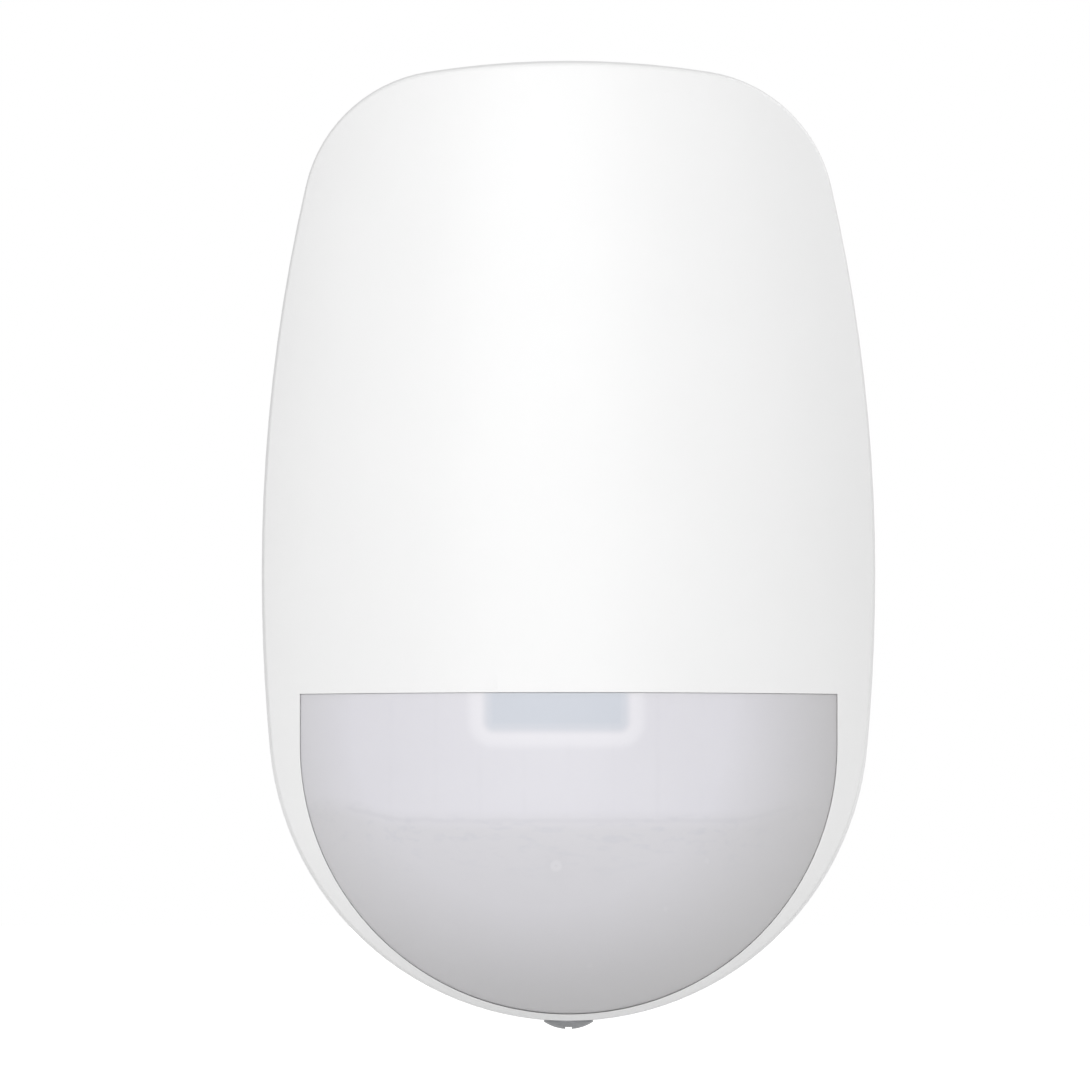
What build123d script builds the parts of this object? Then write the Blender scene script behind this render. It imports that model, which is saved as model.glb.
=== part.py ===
from build123d import *
from math import asin, cos, degrees, radians, sin, sqrt
import os

os.makedirs("parts", exist_ok=True)

# A wireless wall motion sensor, in millimetres. The origin is the centre of the face that lies on
# the wall, +Z is up and the lens faces -Y. "Depth" is the distance in front of the wall, so a
# feature at depth d lies at y = -d.

# Angles shared by several shapes
quarter_turn = 90.0
chamfer_turn = 45.0

# Overall size
width = 65.8
height = 103.0
depth = 48.5
wall = 2.0
bottom_z = -height / 2
top_z = height / 2

# Outline seen from the front: tangent arcs, symmetric about the middle
widest_height = 48.0
corner_radius = 15.9
crown_turn = 9.0
corner_turn = 68.0
bottom_turn = 84.7

# Front of the casing: a cylinder about an upright axis, leaning back above and a dome below
side_depth = 31.6
top_depth = 38.0
nose_flat = 6.0
dome_radius = 24.3
dome_sink = 0.8
draft = 1.5
edge_radius = 0.6
barrel_margin = 5.0
dome_z = bottom_z - dome_sink + dome_radius
nose_z = dome_z + nose_flat
side_fall = depth - side_depth
barrel_radius = ((width / 2)**2 + side_fall**2) / (2 * side_fall)
barrel_axis_depth = depth - barrel_radius

# Where the casing parts
split_depth = 17.0
seam_gap = 0.15
cover_back = split_depth + seam_gap

# Rear cover: corner facets, locating lip and wall-screw holes
flat_half_width = 22.0
lip_root = 3.0
lip_reach = 1.5
lip_wall = 1.0
lip_fit = 0.3
lip_inner = wall + lip_fit + lip_wall
wall_hole_radius = 2.25
wall_hole_spacing = 80.0
knockout_radius = 2.5
knockout_groove = 0.5
knockout_cut = 0.7
knockout_spacing = 50.0
label_width = 30.0
label_height = 18.0
label_thickness = 0.2
label_recess = 0.3
label_z = 22.0
label_corner = 1.5
back_edge = 0.6

# Hinge: the cover's two curved hooks turn about the top edge of the parting plane
hook_x = 9.0
hook_width = 5.0
hook_inner = 2.75
hook_outer = 4.0
hook_start = 205.0
hook_end = 318.0
hook_side_gap = 0.3
hinge_bar = 1.3
hinge_bar_drop = 2.2
hinge_pocket = 2.5
hinge_pocket_drop = 1.6

# Screw that locks the cover, in from below
screw_beyond_split = 3.5
screw_shank_radius = 1.5
screw_head_radius = 2.65
screw_head_height = 1.25
screw_head_dome = 0.8
screw_point = 0.5
screw_length = 8.0
screw_running = 0.05
seat_cut = 0.5
seat_gap = 0.3
notch_gap = 0.2
recess_width = 0.7
recess_depth = 0.6
recess_length = 3.0
tongue_half = 3.6
tongue_thickness = 3.7
tongue_lift = 0.9
tongue_tip_wall = 1.75
tongue_root = 4.0
screw_depth = split_depth + screw_beyond_split
tongue_tip = screw_depth + screw_shank_radius + screw_running + tongue_tip_wall

# Lens window: a straight top, short straight sides and half a circle
window_width = 57.26
window_height = 34.2
window_bottom_rim = 1.0
window_arch = 0.25
window_back_gap = 3.0
window_back_depth = tongue_tip + window_back_gap
window_bottom_z = bottom_z + window_bottom_rim
window_round_z = window_bottom_z + window_width / 2
window_top_z = window_bottom_z + window_height

# Lens, in front, and the frame that holds it from inside
lens_sink = 0.12
lens_skin = 1.0
lens_gap = 0.04
lens_flange = 1.6
lens_flange_wall = 1.0
seat_play = 0.1
lens_back_gap = 0.2
lens_back_depth = window_back_depth + lens_back_gap
gate_radius = 0.5
gate_height = 0.12
gate_x = -1.34
gate_drop = 18.2
frame_wall = 1.5
frame_inner = 1.5
tab_x = 20.0
tab_width = 6.0
tab_wall = 1.5
boss_height = 3.9
tab_beyond = 2.5
boss_radius = 2.5
boss_rise = 5.8
frame_screw_radius = 1.0
frame_screw_head = 1.8
frame_screw_head_height = 1.3
frame_screw_length = 4.0
pilot_gap = 0.05

# Cross-recessed pan heads, as shares of the head's own height and radius
pan_crown = 0.6
pan_slot_length = 1.2
pan_slot_width = 0.3

# Light guide that carries the lamp's light to the lens, and the hood around it
guide_x = -1.3
guide_width = 14.8
guide_height = 3.25
guide_drop = 0.4
guide_back_depth = 20.0
guide_gap = 0.12
guide_front_gap = 0.25
hood_wall = 1.25
hood_depth = 30.0

# Circuit board on four posts
board_depth = 10.0
board_thickness = 1.6
board_width = 44.0
board_bottom_gap = 17.0
board_top_gap = 16.5
board_corner = 1.5
board_front = board_depth + board_thickness
board_bottom_z = bottom_z + board_bottom_gap
board_top_z = top_z - board_top_gap
post_x = 19.5
post_inset = 3.0
post_radius = 2.6
board_screw_radius = 1.1
board_screw_head = 2.0
board_screw_head_height = 1.3
board_screw_length = 6.5
board_hole_gap = 0.3
post_pilot_extra = 1.0

# Heat sensor on the board, behind the lens
sensor_z = bottom_z + 25.5
sensor_spacer_height = 2.0
sensor_spacer_radius = 4.8
sensor_flange_radius = 4.6
sensor_flange_height = 0.6
sensor_radius = 4.05
sensor_height = 4.2
sensor_wall = 0.3
sensor_window_width = 4.4
sensor_window_height = 3.6
sensor_window_thickness = 0.5
sensor_fit = 0.05
lead_radius = 0.22
lead_circle = 2.54
lead_hole_gap = 0.08
lead_tail = 0.8
lead_turns = (45.0, 135.0, 270.0)

# Lamp under the light guide
lamp_width = 2.0
lamp_height = 1.6
lamp_thickness = 1.1
lamp_dome = 0.45
lamp_dome_turn = 30.0
lamp_z = window_top_z - guide_drop - guide_height / 2

# Radio module and its screening can
radio_x = 12.2
radio_z = bottom_z + 28.5
radio_width = 11.0
radio_height = 13.0
radio_board = 0.8
radio_can_rim = 1.0
radio_can_height = 2.4
radio_can_wall = 0.3
radio_can_corner = 0.8

# Controller chip
chip_z = bottom_z + 39.3
chip_size = 6.0
chip_thickness = 1.4
chip_lift = 0.1
chip_legs = 8
chip_leg_pitch = 0.65
chip_leg_width = 0.3
chip_leg_length = 0.9
chip_leg_thickness = 0.25

# Small resistors and capacitors, in two columns
bead_width = 2.0
bead_height = 1.25
bead_thickness = 0.6
bead_columns = (-8.3, 8.3)
bead_pitch = 2.4
bead_count = 4
bead_z = chip_z + 0.3

# Aerial: an upright coil of wire beside the battery
aerial_x = 16.5
aerial_radius = 2.0
aerial_wire = 0.35
aerial_pitch = 2.2
aerial_turns = 8
aerial_lift = 1.0
aerial_top_gap = 6.0

# Smoothing capacitor, standing on the board
capacitor_x = -16.5
capacitor_drop = 24.0
capacitor_radius = 3.15
capacitor_height = 7.0
capacitor_base = 1.0
capacitor_base_half = 3.3
capacitor_can_bead = 0.35
capacitor_z = board_top_z - capacitor_drop

# Battery, its holder and the two contacts
battery_radius = 8.5
battery_length = 33.7
battery_cap_radius = 3.3
battery_cap_height = 0.8
battery_cap_shoulder = 0.6
battery_sleeve = 0.15
holder_floor = 0.8
holder_wall = 1.2
holder_end_wall = 1.5
holder_side_gap = 0.15
holder_floor_gap = 0.2
holder_top_gap = 0.5
holder_rise = 8.4
contact_thickness = 0.4
contact_width = 10.0
contact_height = 11.0
contact_gap = 0.3
coil_radius = 2.6
coil_wire = 0.4
coil_turns = 3
coil_length = 3.0
holder_depth = board_front
holder_top_z = board_top_z - holder_top_gap
battery_depth = holder_depth + holder_floor + holder_floor_gap + battery_radius
battery_top_z = holder_top_z - holder_end_wall - contact_thickness - contact_gap
battery_bottom_z = battery_top_z - battery_length - battery_cap_height
coil_bottom_z = battery_bottom_z - contact_gap - coil_length
holder_bottom_z = coil_bottom_z - contact_thickness - holder_end_wall

# Push button that enrols the sensor, and the switch that the closed cover holds down
side_switch_z = bottom_z + 40.0
button_x = -14.5
button_body = 6.0
button_body_height = 3.4
button_radius = 1.75
button_rise = 1.3
button_bore = 1.5
button_gap = 0.12
button_travel = 0.3
button_floor_gap = 0.2
cover_switch_x = 13.0
cover_switch_width = 6.2
cover_switch_height = 3.6
cover_switch_body = 4.0
plunger_radius = 1.0
plunger_gap = 0.12
plunger_rise = 1.8
plunger_bore = 2.6
plunger_floor_gap = 0.3
plunger_touch = 0.05
cover_post_radius = 1.6

# Pair of slide switches
dip_x = -14.0
dip_z = bottom_z + 27.5
dip_width = 6.2
dip_height = 6.4
dip_body = 3.0
dip_pitch = 2.54
dip_slot_width = 1.5
dip_slot_height = 3.0
dip_slot_cut = 1.0
dip_gap = 0.12
dip_slider_height = 1.3
dip_slider_rise = 0.5

# Pin that feels the wall through the back, its spring and its switch
wall_pin_x = 12.0
wall_pin_z = bottom_z + 31.5
wall_pin_radius = 2.0
wall_pin_gap = 0.12
wall_pin_travel = 1.5
wall_pin_stop_gap = 0.2
wall_pin_flange = 3.0
wall_pin_flange_height = 0.8
wall_pin_tip_radius = 1.1
wall_pin_tip = 1.2
wall_tube_gap = 0.2
wall_tube_wall = 1.2
wall_switch_body = 7.5
wall_switch_height = 3.0
spring_wire = 0.25
spring_radius = 1.8
spring_turns = 4
spring_end_gap = 0.05
wall_flange_depth = wall + wall_pin_travel + wall_pin_stop_gap
wall_switch_depth = board_depth - wall_switch_height


def at_depth(distance):
    """The upright plane at a distance in front of the wall: local x is X, local y is Z."""
    return Plane.XZ.offset(distance)


def two_radii(across, along, first, last):
    """The radii of the two arcs whose known turns span a quarter of the outline."""
    determinant = first[0] * last[1] - last[0] * first[1]
    first_radius = (across * last[1] - last[0] * along) / determinant
    last_radius = (first[0] * along - across * first[1]) / determinant
    return first_radius, last_radius


def outline_face(distance, inset):
    """The casing's outline at a distance from the wall, drawn in from the outside by inset."""
    half = width / 2 - inset
    up = height - widest_height - inset
    down = widest_height - inset
    corner = corner_radius - inset
    turn_1 = radians(crown_turn)
    turn_2 = radians(crown_turn + corner_turn)
    turn_3 = radians(bottom_turn)
    crown, upper_side = two_radii(
        half - corner * (sin(turn_2) - sin(turn_1)),
        up - corner * (cos(turn_1) - cos(turn_2)),
        (sin(turn_1), 1 - cos(turn_1)),
        (1 - sin(turn_2), cos(turn_2)),
    )
    bottom, lower_side = two_radii(
        half, down, (sin(turn_3), 1 - cos(turn_3)), (1 - sin(turn_3), cos(turn_3))
    )
    with BuildSketch(at_depth(distance)) as face:
        with BuildLine():
            crown_arc = JernArc((0, top_z - inset), (1, 0), crown, -crown_turn)
            corner_arc = JernArc(crown_arc @ 1, crown_arc % 1, corner, -corner_turn)
            upper_turn = quarter_turn - crown_turn - corner_turn
            upper_arc = JernArc(corner_arc @ 1, corner_arc % 1, upper_side, -upper_turn)
            lower_turn = quarter_turn - bottom_turn
            lower_arc = JernArc(upper_arc @ 1, upper_arc % 1, lower_side, -lower_turn)
            JernArc(lower_arc @ 1, lower_arc % 1, bottom, -bottom_turn)
            mirror(about=Plane.YZ)
        make_face()
    return face.sketch


def barrel(inset):
    """Everything behind the casing's front surface, drawn in by inset along its normal."""
    rise = top_z - nose_z
    fall = depth - top_depth
    lean_radius = (rise**2 + fall**2) / (2 * fall)
    lean_turn = degrees(asin((rise + barrel_margin) / (lean_radius - inset)))
    with BuildPart() as body:
        with BuildSketch(at_depth(barrel_axis_depth)):
            with BuildLine():
                lean = CenterArc((barrel_radius - lean_radius, nose_z), lean_radius - inset, 0,
                                 lean_turn)
                Line((barrel_radius - inset, nose_z), (barrel_radius - inset, dome_z))
                dome = CenterArc((barrel_radius - dome_radius, dome_z), dome_radius - inset, 0,
                                 -quarter_turn)
                Polyline(dome @ 1, (0, (dome @ 1).Y), (0, (lean @ 1).Y), lean @ 1)
            make_face()
        revolve(axis=Axis((0, -barrel_axis_depth, 0), (0, 0, 1)))
    return body.part


def cover_form(inset):
    """The solid shape of the casing in front of the parting plane, drawn in by inset."""
    with BuildPart() as form:
        extrude(outline_face(cover_back, inset), amount=depth, taper=draft)
        add(barrel(inset), mode=Mode.INTERSECT)
    return form.part


def rear_form(inset):
    """The solid shape of the casing behind the parting plane, drawn in by inset."""
    facet_x = flat_half_width - inset * sqrt(2)
    edge_depth = inset + back_edge
    with BuildPart() as form:
        extrude(outline_face(edge_depth, inset), amount=split_depth - edge_depth)
        extrude(outline_face(edge_depth, inset), amount=-back_edge, taper=chamfer_turn)
        with BuildSketch(Plane.XY.offset(bottom_z)):
            with BuildLine():
                back = Line((-facet_x - inset, -inset), (facet_x + inset, -inset))
                right = Line(back @ 1, (facet_x + split_depth, -split_depth))
                front = Line(right @ 1, (-facet_x - split_depth, -split_depth))
                Line(front @ 1, back @ 0)
            make_face()
        extrude(amount=height, mode=Mode.INTERSECT)
    return form.part


def rim(back, front, outer_inset, inner_inset):
    """A wall that follows the outline between two depths."""
    with BuildPart() as ring:
        extrude(outline_face(back, outer_inset), amount=front - back)
        extrude(outline_face(back, inner_inset), amount=front - back, mode=Mode.SUBTRACT)
    return ring.part


def block(x_low, x_high, depth_low, depth_high, z_low, z_high):
    """A plain rectangular block between six faces."""
    with BuildPart() as solid:
        with BuildSketch(at_depth(depth_low)):
            with Locations(((x_low + x_high) / 2, (z_low + z_high) / 2)):
                Rectangle(x_high - x_low, z_high - z_low)
        extrude(amount=depth_high - depth_low)
    return solid.part


def peg(x, z, back, front, radius):
    """A round peg that points away from the wall."""
    with BuildPart() as solid:
        with BuildSketch(at_depth(back)):
            with Locations((x, z)):
                Circle(radius)
        extrude(amount=front - back)
    return solid.part


def window_prism(back, growth):
    """The lens window carried straight forward, grown on every side."""
    half = window_width / 2 + growth
    top = window_top_z + growth
    with BuildPart() as prism:
        with BuildSketch(at_depth(back)):
            with BuildLine():
                edge = ThreePointArc((-half, top), (0, top + window_arch), (half, top))
                side = Line(edge @ 1, (half, window_round_z))
                bowl = JernArc(side @ 1, side % 1, half, -2 * quarter_turn)
                Line(bowl @ 1, edge @ 0)
            make_face()
        extrude(amount=depth)
    return prism.part


def shell_between(outer_inset, inner_inset):
    """The layer of the casing's front between two depths below its surface."""
    with BuildPart() as layer:
        add(barrel(outer_inset))
        add(barrel(inner_inset), mode=Mode.SUBTRACT)
    return layer.part


def window_ring(outer_growth, inner_growth, outer_inset, inner_inset, side_play):
    """A band round the lens window that follows the casing's front and clears its inside."""
    with BuildPart() as band:
        add(window_prism(lens_back_depth, outer_growth))
        add(window_prism(lens_back_depth, inner_growth), mode=Mode.SUBTRACT)
        add(shell_between(outer_inset, inner_inset), mode=Mode.INTERSECT)
        if outer_growth > 0:
            add(cover_form(wall + side_play), mode=Mode.INTERSECT)
    return band.part


def coil(bottom, radius, wire, turns, pitch):
    """A coil of round wire on a plane's own axis."""
    with BuildPart() as solid:
        with BuildLine() as path:
            Helix(pitch=pitch, height=pitch * turns, radius=radius)
        with BuildSketch(Plane(path.line @ 0, z_dir=path.line % 0)):
            Circle(wire)
        sweep()
    return bottom * solid.part


def pan_screw(x, z, seat, away, head_radius, head_height, shank_radius, length):
    """A pan-head screw along Y; its head stands off its seat, to the front when away is 1."""
    crown = head_height * pan_crown
    slot_length = head_radius * pan_slot_length
    slot_width = head_radius * pan_slot_width
    with BuildPart() as solid:
        add(peg(x, z, seat, seat + away * head_height, head_radius))
        fillet(solid.edges().group_by(Axis.Y)[0 if away > 0 else -1], crown)
        add(peg(x, z, seat, seat - away * length, shank_radius))
        with BuildSketch(at_depth(seat + away * head_height)):
            with Locations((x, z)):
                Rectangle(slot_length, slot_width)
                Rectangle(slot_width, slot_length)
        extrude(amount=-away * crown, mode=Mode.SUBTRACT)
    return solid.part


def finish(builder, name):
    """Names a finished piece and writes it."""
    builder.part.label = name
    export_step(builder.part, f"parts/{name}.step")


# ---- Rear cover: the tray that is screwed to the wall ----
hinge_z = top_z
boss_z = window_top_z + boss_rise
boss_end = barrel_axis_depth + sqrt((barrel_radius - wall)**2 - tab_x**2) - boss_height
tab_depth = boss_end - tab_wall
hook_places = (-hook_x, hook_x)
post_places = [
    (side * post_x, z)
    for side in (-1, 1)
    for z in (board_bottom_z + post_inset, board_top_z - post_inset)
]
hook_slot_half = hook_width / 2 + hook_side_gap
tongue_bottom_z = bottom_z + wall + tongue_lift
tongue_top_z = tongue_bottom_z + tongue_thickness
pin_guide_inner = wall_pin_flange + wall_tube_gap

with BuildPart() as rear_cover:
    add(rear_form(0))
    add(rear_form(wall), mode=Mode.SUBTRACT)
    add(rim(split_depth - lip_root, split_depth, wall, lip_inner))
    add(rim(split_depth, split_depth + lip_reach, wall + lip_fit, lip_inner))
    for x in hook_places:
        left = x - hook_slot_half
        right = x + hook_slot_half
        bar_back = split_depth - hinge_bar
        pocket_back = bar_back - hinge_pocket
        bar_z = hinge_z - hinge_bar_drop
        under = hinge_z - hook_outer - lip_wall - 2 * hook_side_gap
        lip_end = split_depth + lip_reach
        add(block(left, right, bar_back, lip_end, under, bar_z), mode=Mode.SUBTRACT)
        pocket_z = hinge_z - hinge_pocket_drop
        add(block(left, right, pocket_back, bar_back, under, pocket_z), mode=Mode.SUBTRACT)
    for x, z in post_places:
        add(peg(x, z, wall / 2, board_depth, post_radius))
        pilot = board_screw_radius + pilot_gap
        pilot_back = board_front - board_screw_length - post_pilot_extra
        add(peg(x, z, pilot_back, board_depth, pilot), mode=Mode.SUBTRACT)
    add(block(-tongue_half, tongue_half, split_depth - tongue_root, split_depth,
              tongue_bottom_z - wall, tongue_top_z))
    add(block(-tongue_half, tongue_half, split_depth - tongue_root, tongue_tip,
              tongue_bottom_z, tongue_top_z))
    with BuildSketch(Plane.XY.offset(tongue_bottom_z - wall)):
        with Locations((0, -screw_depth)):
            Circle(screw_shank_radius + screw_running)
    extrude(amount=wall + tongue_thickness, mode=Mode.SUBTRACT)
    add(peg(wall_pin_x, wall_pin_z, wall / 2, wall_flange_depth + wall_pin_flange_height,
            pin_guide_inner + wall_tube_wall))
    add(peg(wall_pin_x, wall_pin_z, wall, board_depth, pin_guide_inner), mode=Mode.SUBTRACT)
    add(peg(wall_pin_x, wall_pin_z, 0, wall, wall_pin_radius + wall_pin_gap),
        mode=Mode.SUBTRACT)
    for z in (-wall_hole_spacing / 2, wall_hole_spacing / 2):
        add(peg(0, z, 0, wall, wall_hole_radius), mode=Mode.SUBTRACT)
    with BuildSketch(at_depth(0)):
        with Locations((0, label_z)):
            RectangleRounded(label_width + label_recess, label_height + label_recess, label_corner)
    extrude(amount=label_recess, mode=Mode.SUBTRACT)
    for side in (-1, 1):
        facet_middle = (width / 2 - flat_half_width) / 2
        facet = Plane(
            origin=(side * (flat_half_width + facet_middle), -facet_middle, 0),
            x_dir=(0, 0, 1),
            z_dir=(side, 1, 0),
        )
        with BuildSketch(facet):
            with Locations((-knockout_spacing / 2, 0), (knockout_spacing / 2, 0)):
                Circle(knockout_radius)
                Circle(knockout_radius - knockout_groove, mode=Mode.SUBTRACT)
        extrude(amount=-knockout_cut, mode=Mode.SUBTRACT)
finish(rear_cover, "rear_cover")

with BuildPart() as rating_label:
    with BuildSketch(at_depth(label_recess - label_thickness)):
        with Locations((0, label_z)):
            RectangleRounded(label_width, label_height, label_corner)
    extrude(amount=label_thickness)
finish(rating_label, "rating_label")

# ---- Circuit board and what is soldered to it ----
sensor_leads_places = [
    (lead_circle * cos(radians(turn)), sensor_z + lead_circle * sin(radians(turn)))
    for turn in lead_turns
]

with BuildPart() as circuit_board:
    with BuildSketch(at_depth(board_depth)):
        with Locations((0, (board_bottom_z + board_top_z) / 2)):
            RectangleRounded(board_width, board_top_z - board_bottom_z, board_corner)
        with Locations(*post_places):
            Circle(board_screw_radius + board_hole_gap, mode=Mode.SUBTRACT)
        with Locations(*sensor_leads_places):
            Circle(lead_radius + lead_hole_gap, mode=Mode.SUBTRACT)
    extrude(amount=board_thickness)
finish(circuit_board, "circuit_board")

with BuildPart() as board_screws:
    for x, z in post_places:
        add(pan_screw(x, z, board_front, 1, board_screw_head, board_screw_head_height,
                      board_screw_radius, board_screw_length))
finish(board_screws, "board_screws")

sensor_back = board_front + sensor_spacer_height
sensor_front = sensor_back + sensor_height

with BuildPart() as sensor_spacer:
    add(peg(0, sensor_z, board_front, sensor_back, sensor_spacer_radius))
    for x, z in sensor_leads_places:
        add(peg(x, z, board_front, sensor_back, lead_radius + lead_hole_gap),
            mode=Mode.SUBTRACT)
finish(sensor_spacer, "sensor_spacer")

with BuildPart() as sensor_can:
    add(peg(0, sensor_z, sensor_back, sensor_back + sensor_flange_height, sensor_flange_radius))
    add(peg(0, sensor_z, sensor_back, sensor_front, sensor_radius))
    fillet(sensor_can.edges().group_by(Axis.Y)[0], sensor_wall)
    add(peg(0, sensor_z, sensor_back + sensor_flange_height, sensor_front - sensor_wall,
            sensor_radius - sensor_wall), mode=Mode.SUBTRACT)
    with BuildSketch(at_depth(sensor_front)):
        with Locations((0, sensor_z)):
            Rectangle(sensor_window_width, sensor_window_height)
    extrude(amount=-sensor_wall, mode=Mode.SUBTRACT)
finish(sensor_can, "sensor_can")

with BuildPart() as sensor_window:
    with BuildSketch(at_depth(sensor_front - sensor_window_thickness)):
        with Locations((0, sensor_z)):
            Rectangle(sensor_window_width - 2 * sensor_fit, sensor_window_height - 2 * sensor_fit)
    extrude(amount=sensor_window_thickness - sensor_fit)
finish(sensor_window, "sensor_window")

with BuildPart() as sensor_leads:
    for x, z in sensor_leads_places:
        add(peg(x, z, board_depth - lead_tail, sensor_back, lead_radius))
finish(sensor_leads, "sensor_leads")

with BuildPart() as status_led:
    with BuildSketch(at_depth(board_front)):
        with Locations((guide_x, lamp_z)):
            Rectangle(lamp_width, lamp_height)
    extrude(amount=lamp_thickness)
    with BuildSketch(at_depth(board_front + lamp_thickness)):
        with Locations((guide_x, lamp_z)):
            Circle(lamp_height / 2 - sensor_fit)
    extrude(amount=lamp_dome, taper=lamp_dome_turn)
finish(status_led, "status_led")

radio_front = board_front + radio_board

with BuildPart() as rf_module_board:
    with BuildSketch(at_depth(board_front)):
        with Locations((radio_x, radio_z)):
            Rectangle(radio_width, radio_height)
    extrude(amount=radio_board)
finish(rf_module_board, "rf_module_board")

with BuildPart() as rf_shield_can:
    with BuildSketch(at_depth(radio_front)):
        with Locations((radio_x, radio_z)):
            RectangleRounded(radio_width - 2 * radio_can_rim, radio_height - 2 * radio_can_rim,
                             radio_can_corner)
    extrude(amount=radio_can_height)
    fillet(rf_shield_can.edges().group_by(Axis.Y)[0], radio_can_wall)
    with BuildSketch(at_depth(radio_front)):
        with Locations((radio_x, radio_z)):
            Rectangle(radio_width - 2 * radio_can_rim - 2 * radio_can_wall,
                      radio_height - 2 * radio_can_rim - 2 * radio_can_wall)
    extrude(amount=radio_can_height - radio_can_wall, mode=Mode.SUBTRACT)
finish(rf_shield_can, "rf_shield_can")

with BuildPart() as microcontroller:
    add(block(-chip_size / 2, chip_size / 2, board_front + chip_lift,
              board_front + chip_lift + chip_thickness, chip_z - chip_size / 2,
              chip_z + chip_size / 2))
    chamfer(microcontroller.edges().group_by(Axis.Y)[0], chip_leg_thickness)
    leg_span = chip_size + 2 * chip_leg_length
    with BuildSketch(at_depth(board_front)):
        with Locations((0, chip_z)):
            with GridLocations(chip_leg_pitch, 0, chip_legs, 1):
                Rectangle(chip_leg_width, leg_span)
            with GridLocations(0, chip_leg_pitch, 1, chip_legs):
                Rectangle(leg_span, chip_leg_width)
    extrude(amount=chip_leg_thickness)
finish(microcontroller, "microcontroller")

with BuildPart() as chip_components:
    for x in bead_columns:
        with BuildSketch(at_depth(board_front)):
            with Locations((x, bead_z)):
                with GridLocations(0, bead_pitch, 1, bead_count):
                    Rectangle(bead_width, bead_height)
        extrude(amount=bead_thickness)
finish(chip_components, "chip_components")

aerial_bottom_z = board_top_z - aerial_top_gap - aerial_pitch * aerial_turns
aerial_depth = board_front + aerial_lift + aerial_radius + aerial_wire

with BuildPart() as antenna:
    add(coil(Location((aerial_x, -aerial_depth, aerial_bottom_z)), aerial_radius, aerial_wire,
             aerial_turns, aerial_pitch))
    add(peg(aerial_x + aerial_radius, aerial_bottom_z, board_front, aerial_depth, aerial_wire))
finish(antenna, "antenna")

with BuildPart() as smoothing_capacitor:
    with BuildSketch(at_depth(board_front)):
        with Locations((capacitor_x, capacitor_z)):
            Rectangle(2 * capacitor_base_half, 2 * capacitor_base_half)
    extrude(amount=capacitor_base)
    add(peg(capacitor_x, capacitor_z, board_front, board_front + capacitor_height,
            capacitor_radius))
    fillet(smoothing_capacitor.edges().group_by(Axis.Y)[0], capacitor_can_bead)
finish(smoothing_capacitor, "smoothing_capacitor")

# ---- Battery holder, contacts and battery ----
holder_half = battery_radius + holder_side_gap + holder_wall
holder_inner_half = battery_radius + holder_side_gap

with BuildPart() as battery_holder:
    add(block(-holder_half, holder_half, holder_depth, holder_depth + holder_floor + holder_rise,
              holder_bottom_z, holder_top_z))
    add(block(-holder_inner_half, holder_inner_half, holder_depth + holder_floor,
              holder_depth + depth, holder_bottom_z + holder_end_wall,
              holder_top_z - holder_end_wall), mode=Mode.SUBTRACT)
finish(battery_holder, "battery_holder")

contact_depth = battery_depth - contact_height / 2

with BuildPart() as battery_contact_plus:
    add(block(-contact_width / 2, contact_width / 2, holder_depth + holder_floor,
              contact_depth + contact_height - contact_gap,
              holder_top_z - holder_end_wall - contact_thickness, holder_top_z - holder_end_wall))
finish(battery_contact_plus, "battery_contact_plus")

plate_top_z = holder_bottom_z + holder_end_wall + contact_thickness

with BuildPart() as battery_contact_spring:
    add(block(-contact_width / 2, contact_width / 2, holder_depth + holder_floor,
              contact_depth + contact_height - contact_gap, holder_bottom_z + holder_end_wall,
              plate_top_z))
    add(coil(Location((0, -battery_depth, plate_top_z + coil_wire / 2)), coil_radius, coil_wire,
             coil_turns, (coil_length - 2 * coil_wire) / coil_turns))
finish(battery_contact_spring, "battery_contact_spring")

can_radius = battery_radius - battery_sleeve
can_top_z = battery_bottom_z + battery_length

with BuildPart() as battery_can:
    with BuildSketch(Plane.XY.offset(battery_bottom_z)):
        with Locations((0, -battery_depth)):
            Circle(can_radius)
    extrude(amount=battery_length)
    fillet(battery_can.edges().filter_by(GeomType.CIRCLE), battery_cap_shoulder)
    with BuildSketch(Plane.XY.offset(can_top_z)):
        with Locations((0, -battery_depth)):
            Circle(battery_cap_radius)
    extrude(amount=battery_cap_height)
finish(battery_can, "battery_can")

with BuildPart() as battery_sleeve_tube:
    with BuildSketch(Plane.XY.offset(battery_bottom_z + battery_cap_shoulder)):
        with Locations((0, -battery_depth)):
            Circle(battery_radius)
            Circle(can_radius, mode=Mode.SUBTRACT)
    extrude(amount=battery_length - 2 * battery_cap_shoulder)
finish(battery_sleeve_tube, "battery_sleeve")

# ---- Switches ----
button_front = board_front + button_body_height

with BuildPart() as enrol_switch_body:
    add(block(button_x - button_body / 2, button_x + button_body / 2, board_front, button_front,
              side_switch_z - button_body / 2, side_switch_z + button_body / 2))
    fillet(enrol_switch_body.edges().filter_by(Axis.Y), edge_radius)
    add(peg(button_x, side_switch_z, button_front - button_bore, button_front,
            button_radius + button_gap), mode=Mode.SUBTRACT)
finish(enrol_switch_body, "enrol_switch_body")

with BuildPart() as enrol_button:
    add(peg(button_x, side_switch_z,
            button_front - button_bore + button_travel + button_floor_gap,
            button_front + button_rise, button_radius))
    fillet(enrol_button.edges().group_by(Axis.Y)[0], button_gap)
finish(enrol_button, "enrol_button")

cover_switch_front = board_front + cover_switch_body
plunger_tip = cover_switch_front + plunger_rise

with BuildPart() as cover_tamper_switch_body:
    add(block(cover_switch_x - cover_switch_width / 2, cover_switch_x + cover_switch_width / 2,
              board_front, cover_switch_front, side_switch_z - cover_switch_height / 2,
              side_switch_z + cover_switch_height / 2))
    add(peg(cover_switch_x, side_switch_z, cover_switch_front - plunger_bore, cover_switch_front,
            plunger_radius + plunger_gap), mode=Mode.SUBTRACT)
finish(cover_tamper_switch_body, "cover_tamper_switch_body")

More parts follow.
